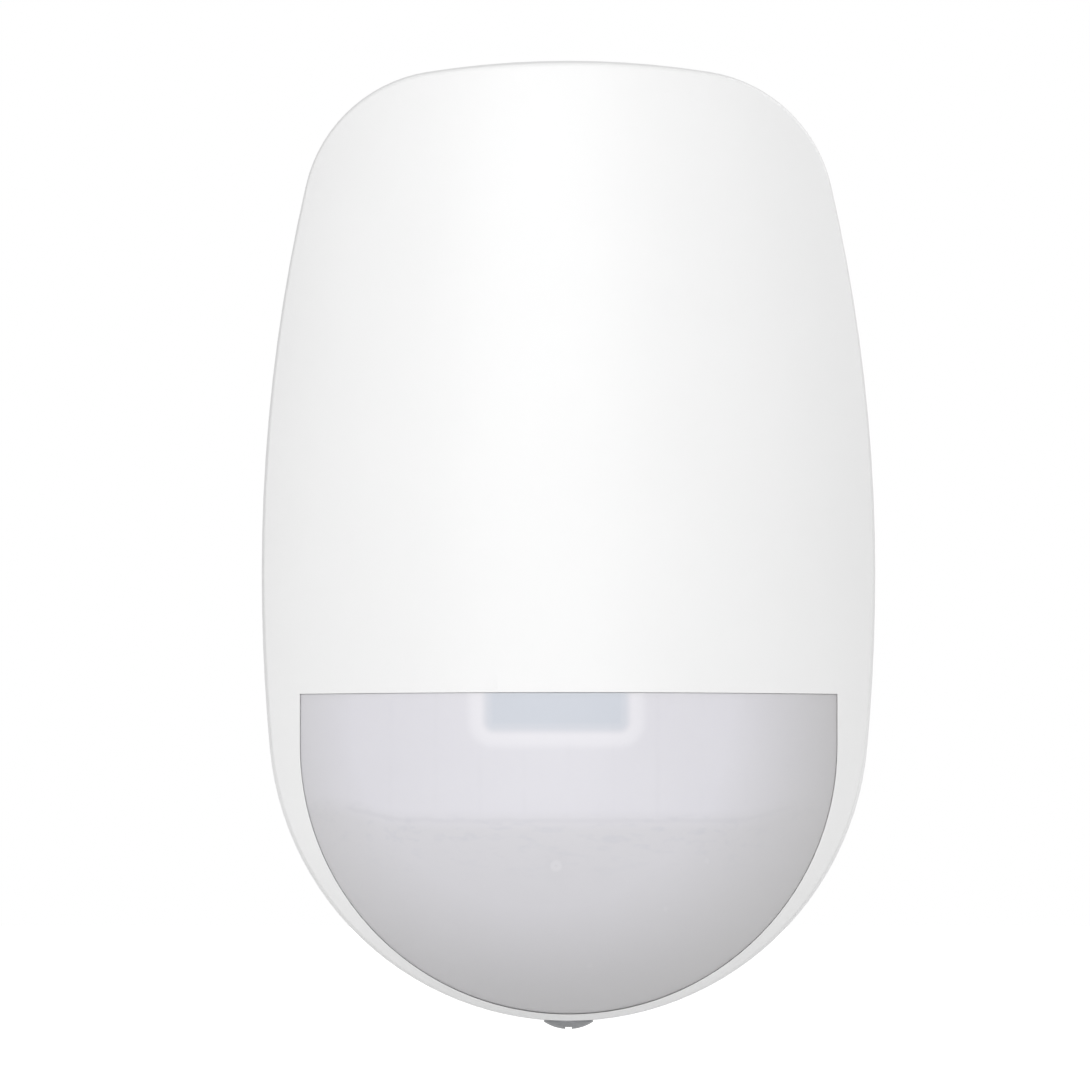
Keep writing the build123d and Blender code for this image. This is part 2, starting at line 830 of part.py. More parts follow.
with BuildPart() as cover_tamper_plunger:
    add(peg(cover_switch_x, side_switch_z, cover_switch_front - plunger_bore + plunger_floor_gap,
            plunger_tip, plunger_radius))
    fillet(cover_tamper_plunger.edges().group_by(Axis.Y)[0], plunger_gap)
finish(cover_tamper_plunger, "cover_tamper_plunger")

dip_front = board_front + dip_body
dip_slider_half = dip_slot_width / 2 - dip_gap
dip_slider_z = dip_z - dip_slot_height / 2 + dip_gap + dip_slider_height / 2

with BuildPart() as dip_switch_body:
    add(block(dip_x - dip_width / 2, dip_x + dip_width / 2, board_front, dip_front,
              dip_z - dip_height / 2, dip_z + dip_height / 2))
    with BuildSketch(at_depth(dip_front)):
        with Locations((dip_x, dip_z)):
            with GridLocations(dip_pitch, 0, 2, 1):
                Rectangle(dip_slot_width, dip_slot_height)
    extrude(amount=-dip_slot_cut, mode=Mode.SUBTRACT)
finish(dip_switch_body, "dip_switch_body")

for number, side in ((1, -1), (2, 1)):
    slider_x = dip_x + side * dip_pitch / 2
    with BuildPart() as dip_slider:
        add(block(slider_x - dip_slider_half, slider_x + dip_slider_half,
                  dip_front - dip_slot_cut + dip_gap, dip_front + dip_slider_rise,
                  dip_slider_z - dip_slider_height / 2, dip_slider_z + dip_slider_height / 2))
    finish(dip_slider, f"dip_slider_{number}")

with BuildPart() as wall_tamper_switch_body:
    half = wall_switch_body / 2
    add(block(wall_pin_x - half, wall_pin_x + half, wall_switch_depth, board_depth,
              wall_pin_z - half, wall_pin_z + half))
finish(wall_tamper_switch_body, "wall_tamper_switch_body")

pin_shoulder = wall_flange_depth + wall_pin_flange_height

with BuildPart() as wall_tamper_plunger:
    add(peg(wall_pin_x, wall_pin_z, 0, wall_flange_depth, wall_pin_radius))
    fillet(wall_tamper_plunger.edges().group_by(Axis.Y)[-1], wall_pin_gap)
    add(peg(wall_pin_x, wall_pin_z, wall_flange_depth, pin_shoulder, wall_pin_flange))
    add(peg(wall_pin_x, wall_pin_z, pin_shoulder, pin_shoulder + wall_pin_tip,
            wall_pin_tip_radius))
finish(wall_tamper_plunger, "wall_tamper_plunger")

spring_room = wall_switch_depth - pin_shoulder - 2 * (spring_wire + spring_end_gap)
spring_start = Location((wall_pin_x, -pin_shoulder - spring_wire - spring_end_gap, wall_pin_z),
                        (quarter_turn, 0, 0))

with BuildPart() as wall_tamper_spring:
    add(coil(spring_start, spring_radius, spring_wire, spring_turns, spring_room / spring_turns))
finish(wall_tamper_spring, "wall_tamper_spring")

# ---- Front cover, its lens and what they carry ----
seat_z = bottom_z + seat_cut
notch_radius = screw_shank_radius + notch_gap
seat_radius = screw_head_radius + seat_gap
post_end = plunger_tip + plunger_touch

with BuildPart() as front_cover:
    add(cover_form(0))
    fillet(front_cover.edges().filter_by(GeomType.BSPLINE), edge_radius)
    add(cover_form(wall), mode=Mode.SUBTRACT)
    add(window_prism(window_back_depth, 0), mode=Mode.SUBTRACT)
    for radius, cut in ((notch_radius, 2 * wall), (seat_radius, seat_cut)):
        with BuildSketch(Plane.XY.offset(bottom_z)):
            with Locations((0, -screw_depth)):
                Circle(radius)
            with Locations((0, -(screw_depth + split_depth) / 2)):
                Rectangle(2 * radius, screw_depth - split_depth)
        extrude(amount=cut, mode=Mode.SUBTRACT)
    for x in hook_places:
        with BuildSketch(Plane.YZ.offset(x - hook_width / 2)):
            with BuildLine():
                outer = CenterArc((-split_depth, hinge_z), hook_outer, hook_start,
                                  hook_end - hook_start)
                inner = CenterArc((-split_depth, hinge_z), hook_inner, hook_start,
                                  hook_end - hook_start)
                Line(outer @ 0, inner @ 0)
                Line(outer @ 1, inner @ 1)
            make_face()
        extrude(amount=hook_width)
    with BuildSketch(at_depth(boss_end)):
        with Locations((-tab_x, boss_z), (tab_x, boss_z)):
            Circle(boss_radius)
            Circle(frame_screw_radius + pilot_gap, mode=Mode.SUBTRACT)
    extrude(until=Until.NEXT)
    with BuildSketch(at_depth(post_end)):
        with Locations((cover_switch_x, side_switch_z)):
            Circle(cover_post_radius)
    extrude(until=Until.NEXT)
finish(front_cover, "front_cover")

guide_left = guide_x - guide_width / 2
guide_right = guide_x + guide_width / 2
guide_top = window_top_z - guide_drop
guide_bottom = guide_top - guide_height
hood_left = guide_left - guide_gap - hood_wall
hood_right = guide_right + guide_gap + hood_wall
hood_bottom = guide_bottom - guide_gap - hood_wall
skin_back = lens_sink + lens_skin
flange_front = wall + seat_play
flange_back = flange_front + lens_flange_wall
frame_front = flange_back + seat_play
frame_back = frame_front + frame_wall
hood_front = skin_back + guide_front_gap

with BuildPart() as hood_space:
    add(block(hood_left - guide_gap, hood_right + guide_gap, tab_depth, depth,
              hood_bottom - guide_gap, window_top_z - lens_gap))
    add(barrel(skin_back), mode=Mode.INTERSECT)

with BuildPart() as lens_skin_layer:
    add(window_prism(lens_back_depth, -lens_gap))
    add(shell_between(lens_sink, skin_back), mode=Mode.INTERSECT)

with BuildPart() as gate_mark:
    add(peg(gate_x, window_top_z - gate_drop, tab_depth, depth, gate_radius))
    add(shell_between(lens_sink - gate_height, skin_back), mode=Mode.INTERSECT)

with BuildPart() as fresnel_lens:
    add(window_ring(-lens_gap, -lens_gap - lens_skin, lens_sink, flange_back, 0))
    add(window_ring(lens_flange, -lens_gap - lens_skin, flange_front, flange_back, seat_play))
    add(hood_space.part, mode=Mode.SUBTRACT)
    add(lens_skin_layer.part)
    add(gate_mark.part)
finish(fresnel_lens, "fresnel_lens")

with BuildPart() as light_guide:
    add(block(guide_left, guide_right, guide_back_depth, depth, guide_bottom, guide_top))
    add(barrel(hood_front), mode=Mode.INTERSECT)
finish(light_guide, "light_guide")

with BuildPart() as hood:
    add(block(hood_left, hood_right, hood_depth, depth, hood_bottom, guide_top + guide_gap))
    add(barrel(hood_front), mode=Mode.INTERSECT)

with BuildPart() as retainer_arms:
    arm_bottom = window_top_z - frame_inner
    for x in (-tab_x, tab_x):
        add(block(x - tab_width / 2, x + tab_width / 2, tab_depth, depth, arm_bottom,
                  window_top_z + lens_flange))
    add(barrel(frame_front), mode=Mode.INTERSECT)

with BuildPart() as lens_retainer:
    add(window_ring(lens_flange, -frame_inner, frame_front, frame_back, 2 * seat_play))
    add(hood.part)
    add(retainer_arms.part)
    add(block(guide_left - guide_gap, guide_right + guide_gap, guide_back_depth, depth,
              guide_bottom - guide_gap, guide_top + guide_gap), mode=Mode.SUBTRACT)
    for x in (-tab_x, tab_x):
        left = x - tab_width / 2
        right = x + tab_width / 2
        add(block(left, right, tab_depth, boss_end, arm_bottom, boss_z + tab_beyond))
        add(peg(x, boss_z, tab_depth, boss_end, frame_screw_radius + pilot_gap),
            mode=Mode.SUBTRACT)
finish(lens_retainer, "lens_retainer")

with BuildPart() as retainer_screws:
    for x in (-tab_x, tab_x):
        add(pan_screw(x, boss_z, tab_depth, -1, frame_screw_head, frame_screw_head_height,
                      frame_screw_radius, frame_screw_length))
finish(retainer_screws, "retainer_screws")

# ---- Cover screw ----
head_top_z = seat_z - screw_running
head_low_z = head_top_z - screw_head_height
head_ball = (screw_head_radius**2 + screw_head_dome**2) / (2 * screw_head_dome)
head_turn = degrees(asin(screw_head_radius / head_ball))

with BuildPart() as cover_screw:
    with BuildSketch(at_depth(screw_depth)):
        with BuildLine():
            dome = JernArc((0, head_low_z), (1, 0), head_ball, head_turn)
            Polyline(dome @ 1, (screw_head_radius, head_top_z), (screw_shank_radius, head_top_z),
                     (screw_shank_radius, head_top_z + screw_length - screw_point),
                     (screw_shank_radius - screw_point, head_top_z + screw_length),
                     (0, head_top_z + screw_length), dome @ 0)
        make_face()
    revolve(axis=Axis((0, -screw_depth, 0), (0, 0, 1)))
    with BuildSketch(Plane.XY.offset(head_low_z)):
        with Locations((0, -screw_depth)):
            Rectangle(recess_length, recess_width)
            Rectangle(recess_width, recess_length)
    extrude(amount=recess_depth, mode=Mode.SUBTRACT)
finish(cover_screw, "cover_screw")
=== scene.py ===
# %% [markdown]
# # A wall motion sensor
#
# This file dresses a finished engineering model. The model comes packed as a fixed frame: every
# part is already in its place, in metres, with the wall behind it at Y = 0, +Z up and the lens
# towards -Y. Nothing here moves a part. The lesson is in the finishes, the light and a few thin
# details that are worth making as surfaces.

# %% Load the frame
import math
import bpy
import numpy as np
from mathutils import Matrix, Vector


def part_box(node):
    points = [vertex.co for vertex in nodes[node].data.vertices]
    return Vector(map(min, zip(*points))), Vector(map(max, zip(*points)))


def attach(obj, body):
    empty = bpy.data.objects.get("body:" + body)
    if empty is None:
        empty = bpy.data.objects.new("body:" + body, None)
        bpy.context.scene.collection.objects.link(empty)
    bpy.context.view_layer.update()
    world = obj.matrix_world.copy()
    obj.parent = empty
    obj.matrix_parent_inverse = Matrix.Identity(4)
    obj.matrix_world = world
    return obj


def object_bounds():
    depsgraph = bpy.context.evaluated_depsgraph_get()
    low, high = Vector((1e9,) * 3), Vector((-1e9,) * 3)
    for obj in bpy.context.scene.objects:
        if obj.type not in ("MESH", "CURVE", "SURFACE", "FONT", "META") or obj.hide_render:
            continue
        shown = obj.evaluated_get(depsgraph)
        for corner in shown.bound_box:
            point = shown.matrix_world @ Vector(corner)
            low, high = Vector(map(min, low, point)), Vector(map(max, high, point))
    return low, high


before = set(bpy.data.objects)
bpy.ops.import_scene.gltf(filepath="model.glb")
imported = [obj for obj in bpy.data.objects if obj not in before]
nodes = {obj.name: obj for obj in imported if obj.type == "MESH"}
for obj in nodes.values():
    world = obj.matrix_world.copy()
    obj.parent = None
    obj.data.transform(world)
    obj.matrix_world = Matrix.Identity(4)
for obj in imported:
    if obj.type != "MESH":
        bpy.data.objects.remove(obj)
cad_low, cad_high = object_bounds()
MM = 0.001
print("parts", len(nodes), "size in mm", [round(s / MM, 1) for s in cad_high - cad_low])

# %% [markdown]
# ## Camera
#
# A small product is photographed from far away with a long lens, so that its sides don't splay.
# The camera looks straight along +Y at the face, a little to the left of the casing's middle.
# The width of what it sees is set at the parting plane, where the outline is widest, and the
# focal length follows from that width and the distance.

# %% Camera
VIEW_WIDTH = 116.9 * MM
VIEW_DISTANCE = 3.0
AIM_X = -2.52 * MM
AIM_Z = -0.43 * MM
SPLIT_Y = -17.0 * MM

camera_data = bpy.data.cameras.new("product_camera")
camera_data.lens = camera_data.sensor_width * VIEW_DISTANCE / VIEW_WIDTH
camera_data.clip_start = 0.1
camera_data.clip_end = 20.0
camera = bpy.data.objects.new("product_camera", camera_data)
camera.location = (AIM_X, SPLIT_Y - VIEW_DISTANCE, AIM_Z)
camera.rotation_euler = (math.radians(90), 0, 0)
bpy.context.scene.collection.objects.link(camera)
bpy.context.scene.camera = camera
print("focal length", round(camera_data.lens), "mm")

# %% [markdown]
# ## A helper for shader nodes and one for colours
#
# Colours are easiest to read as the hex values of a paint chart, but Blender mixes light in linear
# numbers, so one function turns the first into the second. Another adds a node, sets it and wires
# it, which keeps each finish down to the few lines that say something about it.


# %% Colour and node helpers
def linear(code):
    """The linear RGBA of an sRGB hex code: below 0.04045 it is divided, above it is a power."""
    srgb = np.array([int(code[i : i + 2], 16) for i in (1, 3, 5)]) / 255
    rgb = np.where(srgb <= 0.04045, srgb / 12.92, ((srgb + 0.055) / 1.055) ** 2.4)
    return (*rgb.tolist(), 1.0)


def add(tree, kind, inputs=None, **settings):
    """One shader node. Each input is a plain value, or the output socket that feeds it."""
    node = tree.nodes.new(kind)
    for name, value in settings.items():
        setattr(node, name, value)
    for name, value in (inputs or {}).items():
        if isinstance(value, bpy.types.NodeSocket):
            tree.links.new(value, node.inputs[name])
        else:
            node.inputs[name].default_value = value
    return node


def per_mm(size):
    """The texture scale that repeats about once in this many millimetres."""
    return 1 / (size * MM)


def blank_material(name):
    """A new material and its empty node tree."""
    material = bpy.data.materials.new(name)
    material.use_nodes = True
    material.node_tree.nodes.clear()
    return material, material.node_tree


def finish_material(tree, shader):
    """Wires a shader to the material's output."""
    add(tree, "ShaderNodeOutputMaterial", {"Surface": shader.outputs["BSDF"]})


print("casing white in linear light is", [round(c, 3) for c in linear("#E9E9E9")[:3]])

# %% [markdown]
# ## Light and floor
#
# White on white is lit almost evenly from all round, with one large soft lamp above and in front
# that makes the crown of the casing the brightest place. The surround gives less light from below
# than from above, as a room does, so the underside rounds off into grey. Seen directly it is plain
# white. The floor is white paper. Near the object it only reflects, so it shows a soft shadow;
# further off it glows a little, as paper does under its own lamps, and runs into the white
# surround with no edge.

# %% World, lamps and floor
LIGHT_BELOW = 0.22
LIGHT_ABOVE = 0.80
FLOOR_DROP = 22 * MM
FLOOR_RADIUS = 2.4
GLOW_START = 0.2
GLOW_FULL = 1.1
GLOW_STRENGTH = 0.55
KEY_PLACE = (-0.16, -1.3, 0.5)
KEY_SIZE = 1.3
KEY_POWER = 9.9
FILL_PLACE = (0.9, 1.1, 0.7)
FILL_SIZE = 1.0
FILL_POWER = 5.0

bpy.context.scene.view_settings.view_transform = "Standard"
world = bpy.data.worlds.new("white_surround")
world.use_nodes = True
tree = world.node_tree
tree.nodes.clear()
toward = add(tree, "ShaderNodeSeparateXYZ", {
    "Vector": add(tree, "ShaderNodeTexCoord").outputs["Generated"],
})
room = add(tree, "ShaderNodeMapRange", {
    "Value": toward.outputs["Z"], "From Min": -1.0, "From Max": 1.0,
    "To Min": LIGHT_BELOW, "To Max": LIGHT_ABOVE,
})
white = add(tree, "ShaderNodeBackground", {"Color": (1, 1, 1, 1), "Strength": 1.0})
soft = add(tree, "ShaderNodeBackground", {
    "Color": (1, 1, 1, 1), "Strength": room.outputs["Result"],
})
seen = add(tree, "ShaderNodeLightPath").outputs["Is Camera Ray"]
surround = add(tree, "ShaderNodeMixShader", {
    0: seen, 1: soft.outputs["Background"], 2: white.outputs["Background"],
})
add(tree, "ShaderNodeOutputWorld", {"Surface": surround.outputs["Shader"]})
bpy.context.scene.world = world


def softbox(name, place, size, power):
    """A square area lamp at a place, facing the middle of the object."""
    lamp = bpy.data.lights.new(name, "AREA")
    lamp.size = size
    lamp.energy = power
    holder = bpy.data.objects.new(name, lamp)
    holder.location = place
    aim = (cad_low + cad_high) / 2 - holder.location
    holder.rotation_euler = aim.to_track_quat("-Z", "Y").to_euler()
    bpy.context.scene.collection.objects.link(holder)
    return holder


softbox("key_softbox", KEY_PLACE, KEY_SIZE, KEY_POWER)
softbox("fill_softbox", FILL_PLACE, FILL_SIZE, FILL_POWER)


def paper_disc(radius, height, rings=24, spokes=96):
    """A flat disc: points at radius * share along each ring, turned round the upright axis."""
    share = np.linspace(0, 1, rings + 1)[1:, None] ** 2
    turn = np.linspace(0, 2 * np.pi, spokes, endpoint=False)[None, :]
    x = radius * share * np.cos(turn)
    y = radius * share * np.sin(turn)
    points = np.stack([x, y, np.full_like(x, height)], axis=-1).reshape(-1, 3)
    points = np.vstack([points, [0, 0, height]])
    ring, spoke = np.meshgrid(np.arange(rings - 1), np.arange(spokes), indexing="ij")
    near = ring * spokes + spoke
    near_next = ring * spokes + (spoke + 1) % spokes
    quads = np.stack([near, near + spokes, near_next + spokes, near_next], axis=-1)
    middle = np.full(spokes, len(points) - 1)
    first = np.arange(spokes)
    fan = np.stack([middle, first, (first + 1) % spokes], axis=-1)
    return points, quads.reshape(-1, 4).tolist() + fan.tolist()


paper, tree = blank_material("white studio paper, matt")
place = add(tree, "ShaderNodeTexCoord").outputs["Object"]
distance = add(tree, "ShaderNodeVectorMath", {0: place}, operation="LENGTH")
glow = add(tree, "ShaderNodeMapRange", {
    "Value": distance.outputs["Value"], "From Min": GLOW_START, "From Max": GLOW_FULL,
    "To Max": GLOW_STRENGTH,
})
fibre = add(tree, "ShaderNodeTexNoise", {"Vector": place, "Scale": per_mm(1.2), "Detail": 6.0})
tint = add(tree, "ShaderNodeMix", {
    "Factor": fibre.outputs["Fac"], "A": linear("#EEEEEE"), "B": linear("#F4F4F4"),
}, data_type="RGBA")
finish_material(tree, add(tree, "ShaderNodeBsdfPrincipled", {
    "Base Color": tint.outputs["Result"], "Roughness": 0.9, "Emission Color": (1, 1, 1, 1),
    "Emission Strength": glow.outputs["Result"],
}))
points, faces = paper_disc(FLOOR_RADIUS, cad_low.z - FLOOR_DROP)
floor_mesh = bpy.data.meshes.new("paper_floor")
floor_mesh.from_pydata(points.tolist(), [], faces)
floor_mesh.materials.append(paper)
floor = bpy.data.objects.new("paper_floor", floor_mesh)
bpy.context.scene.collection.objects.link(floor)
print("floor at", round((cad_low.z - FLOOR_DROP) / MM, 1), "mm")

# %% [markdown]
# ## Moulded plastics
#
# Almost every part is injection moulded. What the eye reads in such a skin is the tool's surface:
# a spark-eroded casing has a fine, even grain that breaks up reflections, while polished tools
# leave gloss. So one function makes the family, and its arguments are the plastic's colour, the
# grain's pitch and height in millimetres and the gloss. The colour drifts very slightly over
# several millimetres, as flow in the tool leaves it, and roughness drifts with the grain. A real
# spark grain is finer than the 0.28 mm drawn for the casing, which is as fine as shows here.


# %% Moulded plastic
FLOW_MM = 14.0


def moulded_plastic(name, colour, shade, grain_mm, grain_height_mm, roughness, ior=1.53,
                    translucence=0.0):
    """A moulded skin: flow-mottled colour, fine grain as bump and a little roughness drift."""
    material, tree = blank_material(name)
    place = add(tree, "ShaderNodeTexCoord").outputs["Object"]
    flow = add(tree, "ShaderNodeTexNoise", {
        "Vector": place, "Scale": per_mm(FLOW_MM), "Detail": 3.0, "Roughness": 0.45,
    })
    grain = add(tree, "ShaderNodeTexNoise", {
        "Vector": place, "Scale": per_mm(grain_mm), "Detail": 4.0, "Roughness": 0.6,
    })
    colours = add(tree, "ShaderNodeMix", {
        "Factor": flow.outputs["Fac"], "A": linear(colour), "B": linear(shade),
    }, data_type="RGBA")
    gloss = add(tree, "ShaderNodeMapRange", {
        "Value": grain.outputs["Fac"], "To Min": roughness - 0.05, "To Max": roughness + 0.07,
    })
    bump = add(tree, "ShaderNodeBump", {
        "Height": grain.outputs["Fac"], "Distance": grain_height_mm * MM, "Strength": 1.0,
    })
    finish_material(tree, add(tree, "ShaderNodeBsdfPrincipled", {
        "Base Color": colours.outputs["Result"], "Roughness": gloss.outputs["Result"],
        "Normal": bump.outputs["Normal"], "IOR": ior, "Subsurface Weight": translucence,
        "Subsurface Radius": (1.0, 1.0, 1.0), "Subsurface Scale": 0.6 * MM,
    }))
    return material


abs_casing = moulded_plastic(
    "white ABS, injection moulded, fine spark texture", "#E9E9E9", "#E6E6E6", 0.28, 0.006, 0.42)
abs_frame = moulded_plastic(
    "natural white ABS, injection moulded, matt", "#E6E6E3", "#DFDFDB", 0.5, 0.01, 0.55)
nylon_black = moulded_plastic(
    "black glass-filled nylon, injection moulded", "#17181A", "#202123", 0.35, 0.02, 0.5)
phenolic_black = moulded_plastic(
    "black phenolic, compression moulded", "#121214", "#1B1B1D", 0.2, 0.008, 0.38)
nylon_red = moulded_plastic(
    "red nylon, injection moulded, semi-gloss", "#A11C18", "#8C1613", 0.4, 0.006, 0.3)
acetal_white = moulded_plastic(
    "white acetal, injection moulded", "#EDEDE8", "#E2E2DC", 0.3, 0.004, 0.35)
acetal_ivory = moulded_plastic(
    "ivory acetal, injection moulded", "#DAD6C6", "#CFCAB8", 0.3, 0.004, 0.33)
nylon_spacer = moulded_plastic(
    "natural nylon, injection moulded", "#D9D4C2", "#CCC6B2", 0.4, 0.008, 0.45)
epoxy_black = moulded_plastic(
    "black moulding epoxy, transfer moulded, matt", "#15161A", "#1D1E22", 0.12, 0.006, 0.6)
label_film = moulded_plastic(
    "white polyester label film, matt", "#E4E4E0", "#DEDEDA", 0.15, 0.003, 0.5)
chip_ceramic = moulded_plastic(
    "tan barium titanate, fired ceramic", "#9A8264", "#84704F", 0.25, 0.008, 0.45)
led_epoxy = moulded_plastic(
    "clear epoxy over a white LED package, cast", "#E6EBE6", "#D5DDDC", 0.6, 0.002, 0.12)
print("plastics made")

# %% [markdown]
# ## Metals
#
# The metal parts are small: plated screws, pressed cans, spring contacts and wire. Plated steel
# keeps the marks of its making, as fine lines along the way it was drawn or rolled. A noise
# stretched along one axis draws them, and they change the gloss more than the height.


# %% Plated and drawn metal
def drawn_metal(name, colour, shade, line_mm, stretch, roughness):
    """A metal with fine lines: noise stretched by these factors along X, Y and Z."""
    material, tree = blank_material(name)
    place = add(tree, "ShaderNodeTexCoord").outputs["Object"]
    squeezed = add(tree, "ShaderNodeMapping", {"Vector": place, "Scale": stretch})
    lines = add(tree, "ShaderNodeTexNoise", {
        "Vector": squeezed.outputs["Vector"], "Scale": per_mm(line_mm), "Detail": 5.0,
    })
    stain = add(tree, "ShaderNodeTexNoise", {"Vector": place, "Scale": per_mm(2.5), "Detail": 3.0})
    colours = add(tree, "ShaderNodeMix", {
        "Factor": stain.outputs["Fac"], "A": linear(colour), "B": linear(shade),
    }, data_type="RGBA")
    gloss = add(tree, "ShaderNodeMapRange", {
        "Value": lines.outputs["Fac"], "To Min": roughness - 0.1, "To Max": roughness + 0.12,
    })
    bump = add(tree, "ShaderNodeBump", {
        "Height": lines.outputs["Fac"], "Distance": 0.003 * MM, "Strength": 1.0,
    })
    finish_material(tree, add(tree, "ShaderNodeBsdfPrincipled", {
        "Base Color": colours.outputs["Result"], "Metallic": 1.0,
        "Roughness": gloss.outputs["Result"], "Normal": bump.outputs["Normal"],
    }))
    return material


screw_steel = drawn_metal(
    "stainless steel, cold headed, satin", "#9FA0A2", "#8C8D90", 0.3, (1, 1, 0.25), 0.36)
zinc_steel = drawn_metal(
    "bright zinc on steel, cold headed", "#B4B7BC", "#A3A7AE", 0.25, (1, 0.3, 1), 0.28)
tin_plate = drawn_metal(
    "tin plate, pressed", "#C6C5C0", "#B4B3AE", 0.35, (1, 1, 0.15), 0.3)
nickel_can = drawn_metal(
    "nickel on steel, deep drawn", "#C3BFB4", "#B0ACA1", 0.3, (1, 0.15, 1), 0.26)
spring_nickel = drawn_metal(
    "nickel on spring steel, rolled", "#BDB8AB", "#A9A498", 0.3, (0.2, 1, 1), 0.3)
copper_wire = drawn_metal(
    "enamelled copper wire, drawn", "#B87344", "#A06038", 0.4, (1, 1, 1), 0.3)
capacitor_aluminium = drawn_metal(
    "aluminium can, impact extruded", "#C4C7CA", "#B5B8BC", 0.3, (1, 0.12, 1), 0.32)
print("metals made")

# %% [markdown]
# ## The lens
#
# The lens is a millimetre of high-density polyethylene, the one cheap plastic that lets body heat
# through. To the eye it is milky: most light scatters near the surface, and what lies close behind
# shows only as a soft shape. Two things do here: the clear light guide, which looks bluish and a
# little darker, and the white hood around it, which throws light back and looks paler. The
# distance from the guide's rectangle is enough to draw both, so the pattern follows the part. The
# rectangle is drawn in at the sides and foot, and runs up past the window's edge.
#
# The inner face is cut into rows of Fresnel lenses. Below the first row the plastic looks slightly
# greyer, the step between the rows is a faint wavy line, and the borders between neighbouring
# lenses show as faint upright streaks. A pale dot marks the gate where the plastic came in, and
# three fainter ones stand for specks in the resin. Shade is also painted into the lens's colour: it
# is palest a little left of the middle of its top edge and greyer towards its rim, more on the
# right and at the foot, where the dome turns away from the lamp.


# %% Patterns for what shows through the lens
def box_distance(tree, split, low, high):
    """Distance in X and Z from a rectangle: the length of what lies beyond its half sizes."""
    sides = []
    for axis, output in ((0, "X"), (2, "Z")):
        middle = (low[axis] + high[axis]) / 2
        half = (high[axis] - low[axis]) / 2
        offset = add(tree, "ShaderNodeMath", {
            0: split.outputs[output], 1: middle,
        }, operation="SUBTRACT")
        size = add(tree, "ShaderNodeMath", {0: offset.outputs[0]}, operation="ABSOLUTE")
        beyond = add(tree, "ShaderNodeMath", {0: size.outputs[0], 1: half}, operation="SUBTRACT")
        sides.append(add(tree, "ShaderNodeMath", {0: beyond.outputs[0], 1: 0.0},
                         operation="MAXIMUM").outputs[0])
    corner = add(tree, "ShaderNodeCombineXYZ", {"X": sides[0], "Y": sides[1]})
    return add(tree, "ShaderNodeVectorMath", {0: corner.outputs[0]},
               operation="LENGTH").outputs["Value"]


def point_distance(tree, split, x, z):
    """Distance in X and Z from a point given in millimetres: the length of the two offsets."""
    offsets = [add(tree, "ShaderNodeMath", {
        0: split.outputs[output], 1: place * MM,
    }, operation="SUBTRACT").outputs[0] for output, place in (("X", x), ("Z", z))]
    corner = add(tree, "ShaderNodeCombineXYZ", {"X": offsets[0], "Y": offsets[1]})
    return add(tree, "ShaderNodeVectorMath", {0: corner.outputs[0]},
               operation="LENGTH").outputs["Value"]


def profile(tree, value, stops):
    """A smooth curve through (millimetres, level) stops, read at a distance in metres."""
    reach = stops[-1][0]
    share = add(tree, "ShaderNodeMath", {0: value, 1: per_mm(reach)}, operation="MULTIPLY")
    ramp = add(tree, "ShaderNodeValToRGB", {"Fac": share.outputs[0]})
    ramp.color_ramp.interpolation = "EASE"
    while len(ramp.color_ramp.elements) < len(stops):
        ramp.color_ramp.elements.new(1.0)
    for element, (place, level) in zip(ramp.color_ramp.elements, stops):
        element.position = place / reach
        element.color = (level, level, level, 1.0)
    return ramp.outputs["Color"]


def toned(tree, factor, below, colour):
    """One more layer of colour over what is below, as strong as the factor."""
    return add(tree, "ShaderNodeMix", {
        "Factor": factor, "A": below, "B": linear(colour),
    }, data_type="RGBA").outputs["Result"]


# %% Lens polyethylene
ROW_Z = -29.7
ROW_WAVE = 0.5
ROW_BLUR = 1.1
RIPPLE_REACH = 7.0
RIPPLE_STRENGTH = 0.45
BORDER_X = 23.6
BORDER_PITCH = 4.72
GUIDE_INSET = 0.8
GUIDE_ABOVE = 3.0
BORDER_FADE = 0.6
SPECK_RADIUS = 0.45
GUIDE_PROFILE = [(0.0, 0.78), (0.45, 0.6), (1.5, 0.0)]
HALO_PROFILE = [(0.0, 0.0), (0.7, 0.1), (1.7, 0.5), (2.1, 0.46), (3.3, 0.0)]
ROW_PROFILE = [(0.0, 0.35), (0.45, 0.0)]
BORDER_PROFILE = [(0.0, 0.12), (0.5, 0.0)]
BEND_START = 17.0
BEND_FULL = 26.0
BEND_RISE = 1.6
GATE = (-1.34, -34.5)
GATE_PROFILE = [(0.0, 0.1), (0.32, 0.3), (0.48, 0.26), (0.75, 0.0)]
SPECKS = [(14.7, -34.0, 0.14), (10.3, -39.1, 0.12), (2.2, -45.2, 0.08)]
# Painted shade on the lens: palest round this point, greyer out to the second radius.
SHADE_CENTRE_X = -3.0
SHADE_CENTRE_Z = -19.0
SHADE_START_RADIUS = 20.0
SHADE_FULL_RADIUS = 33.0


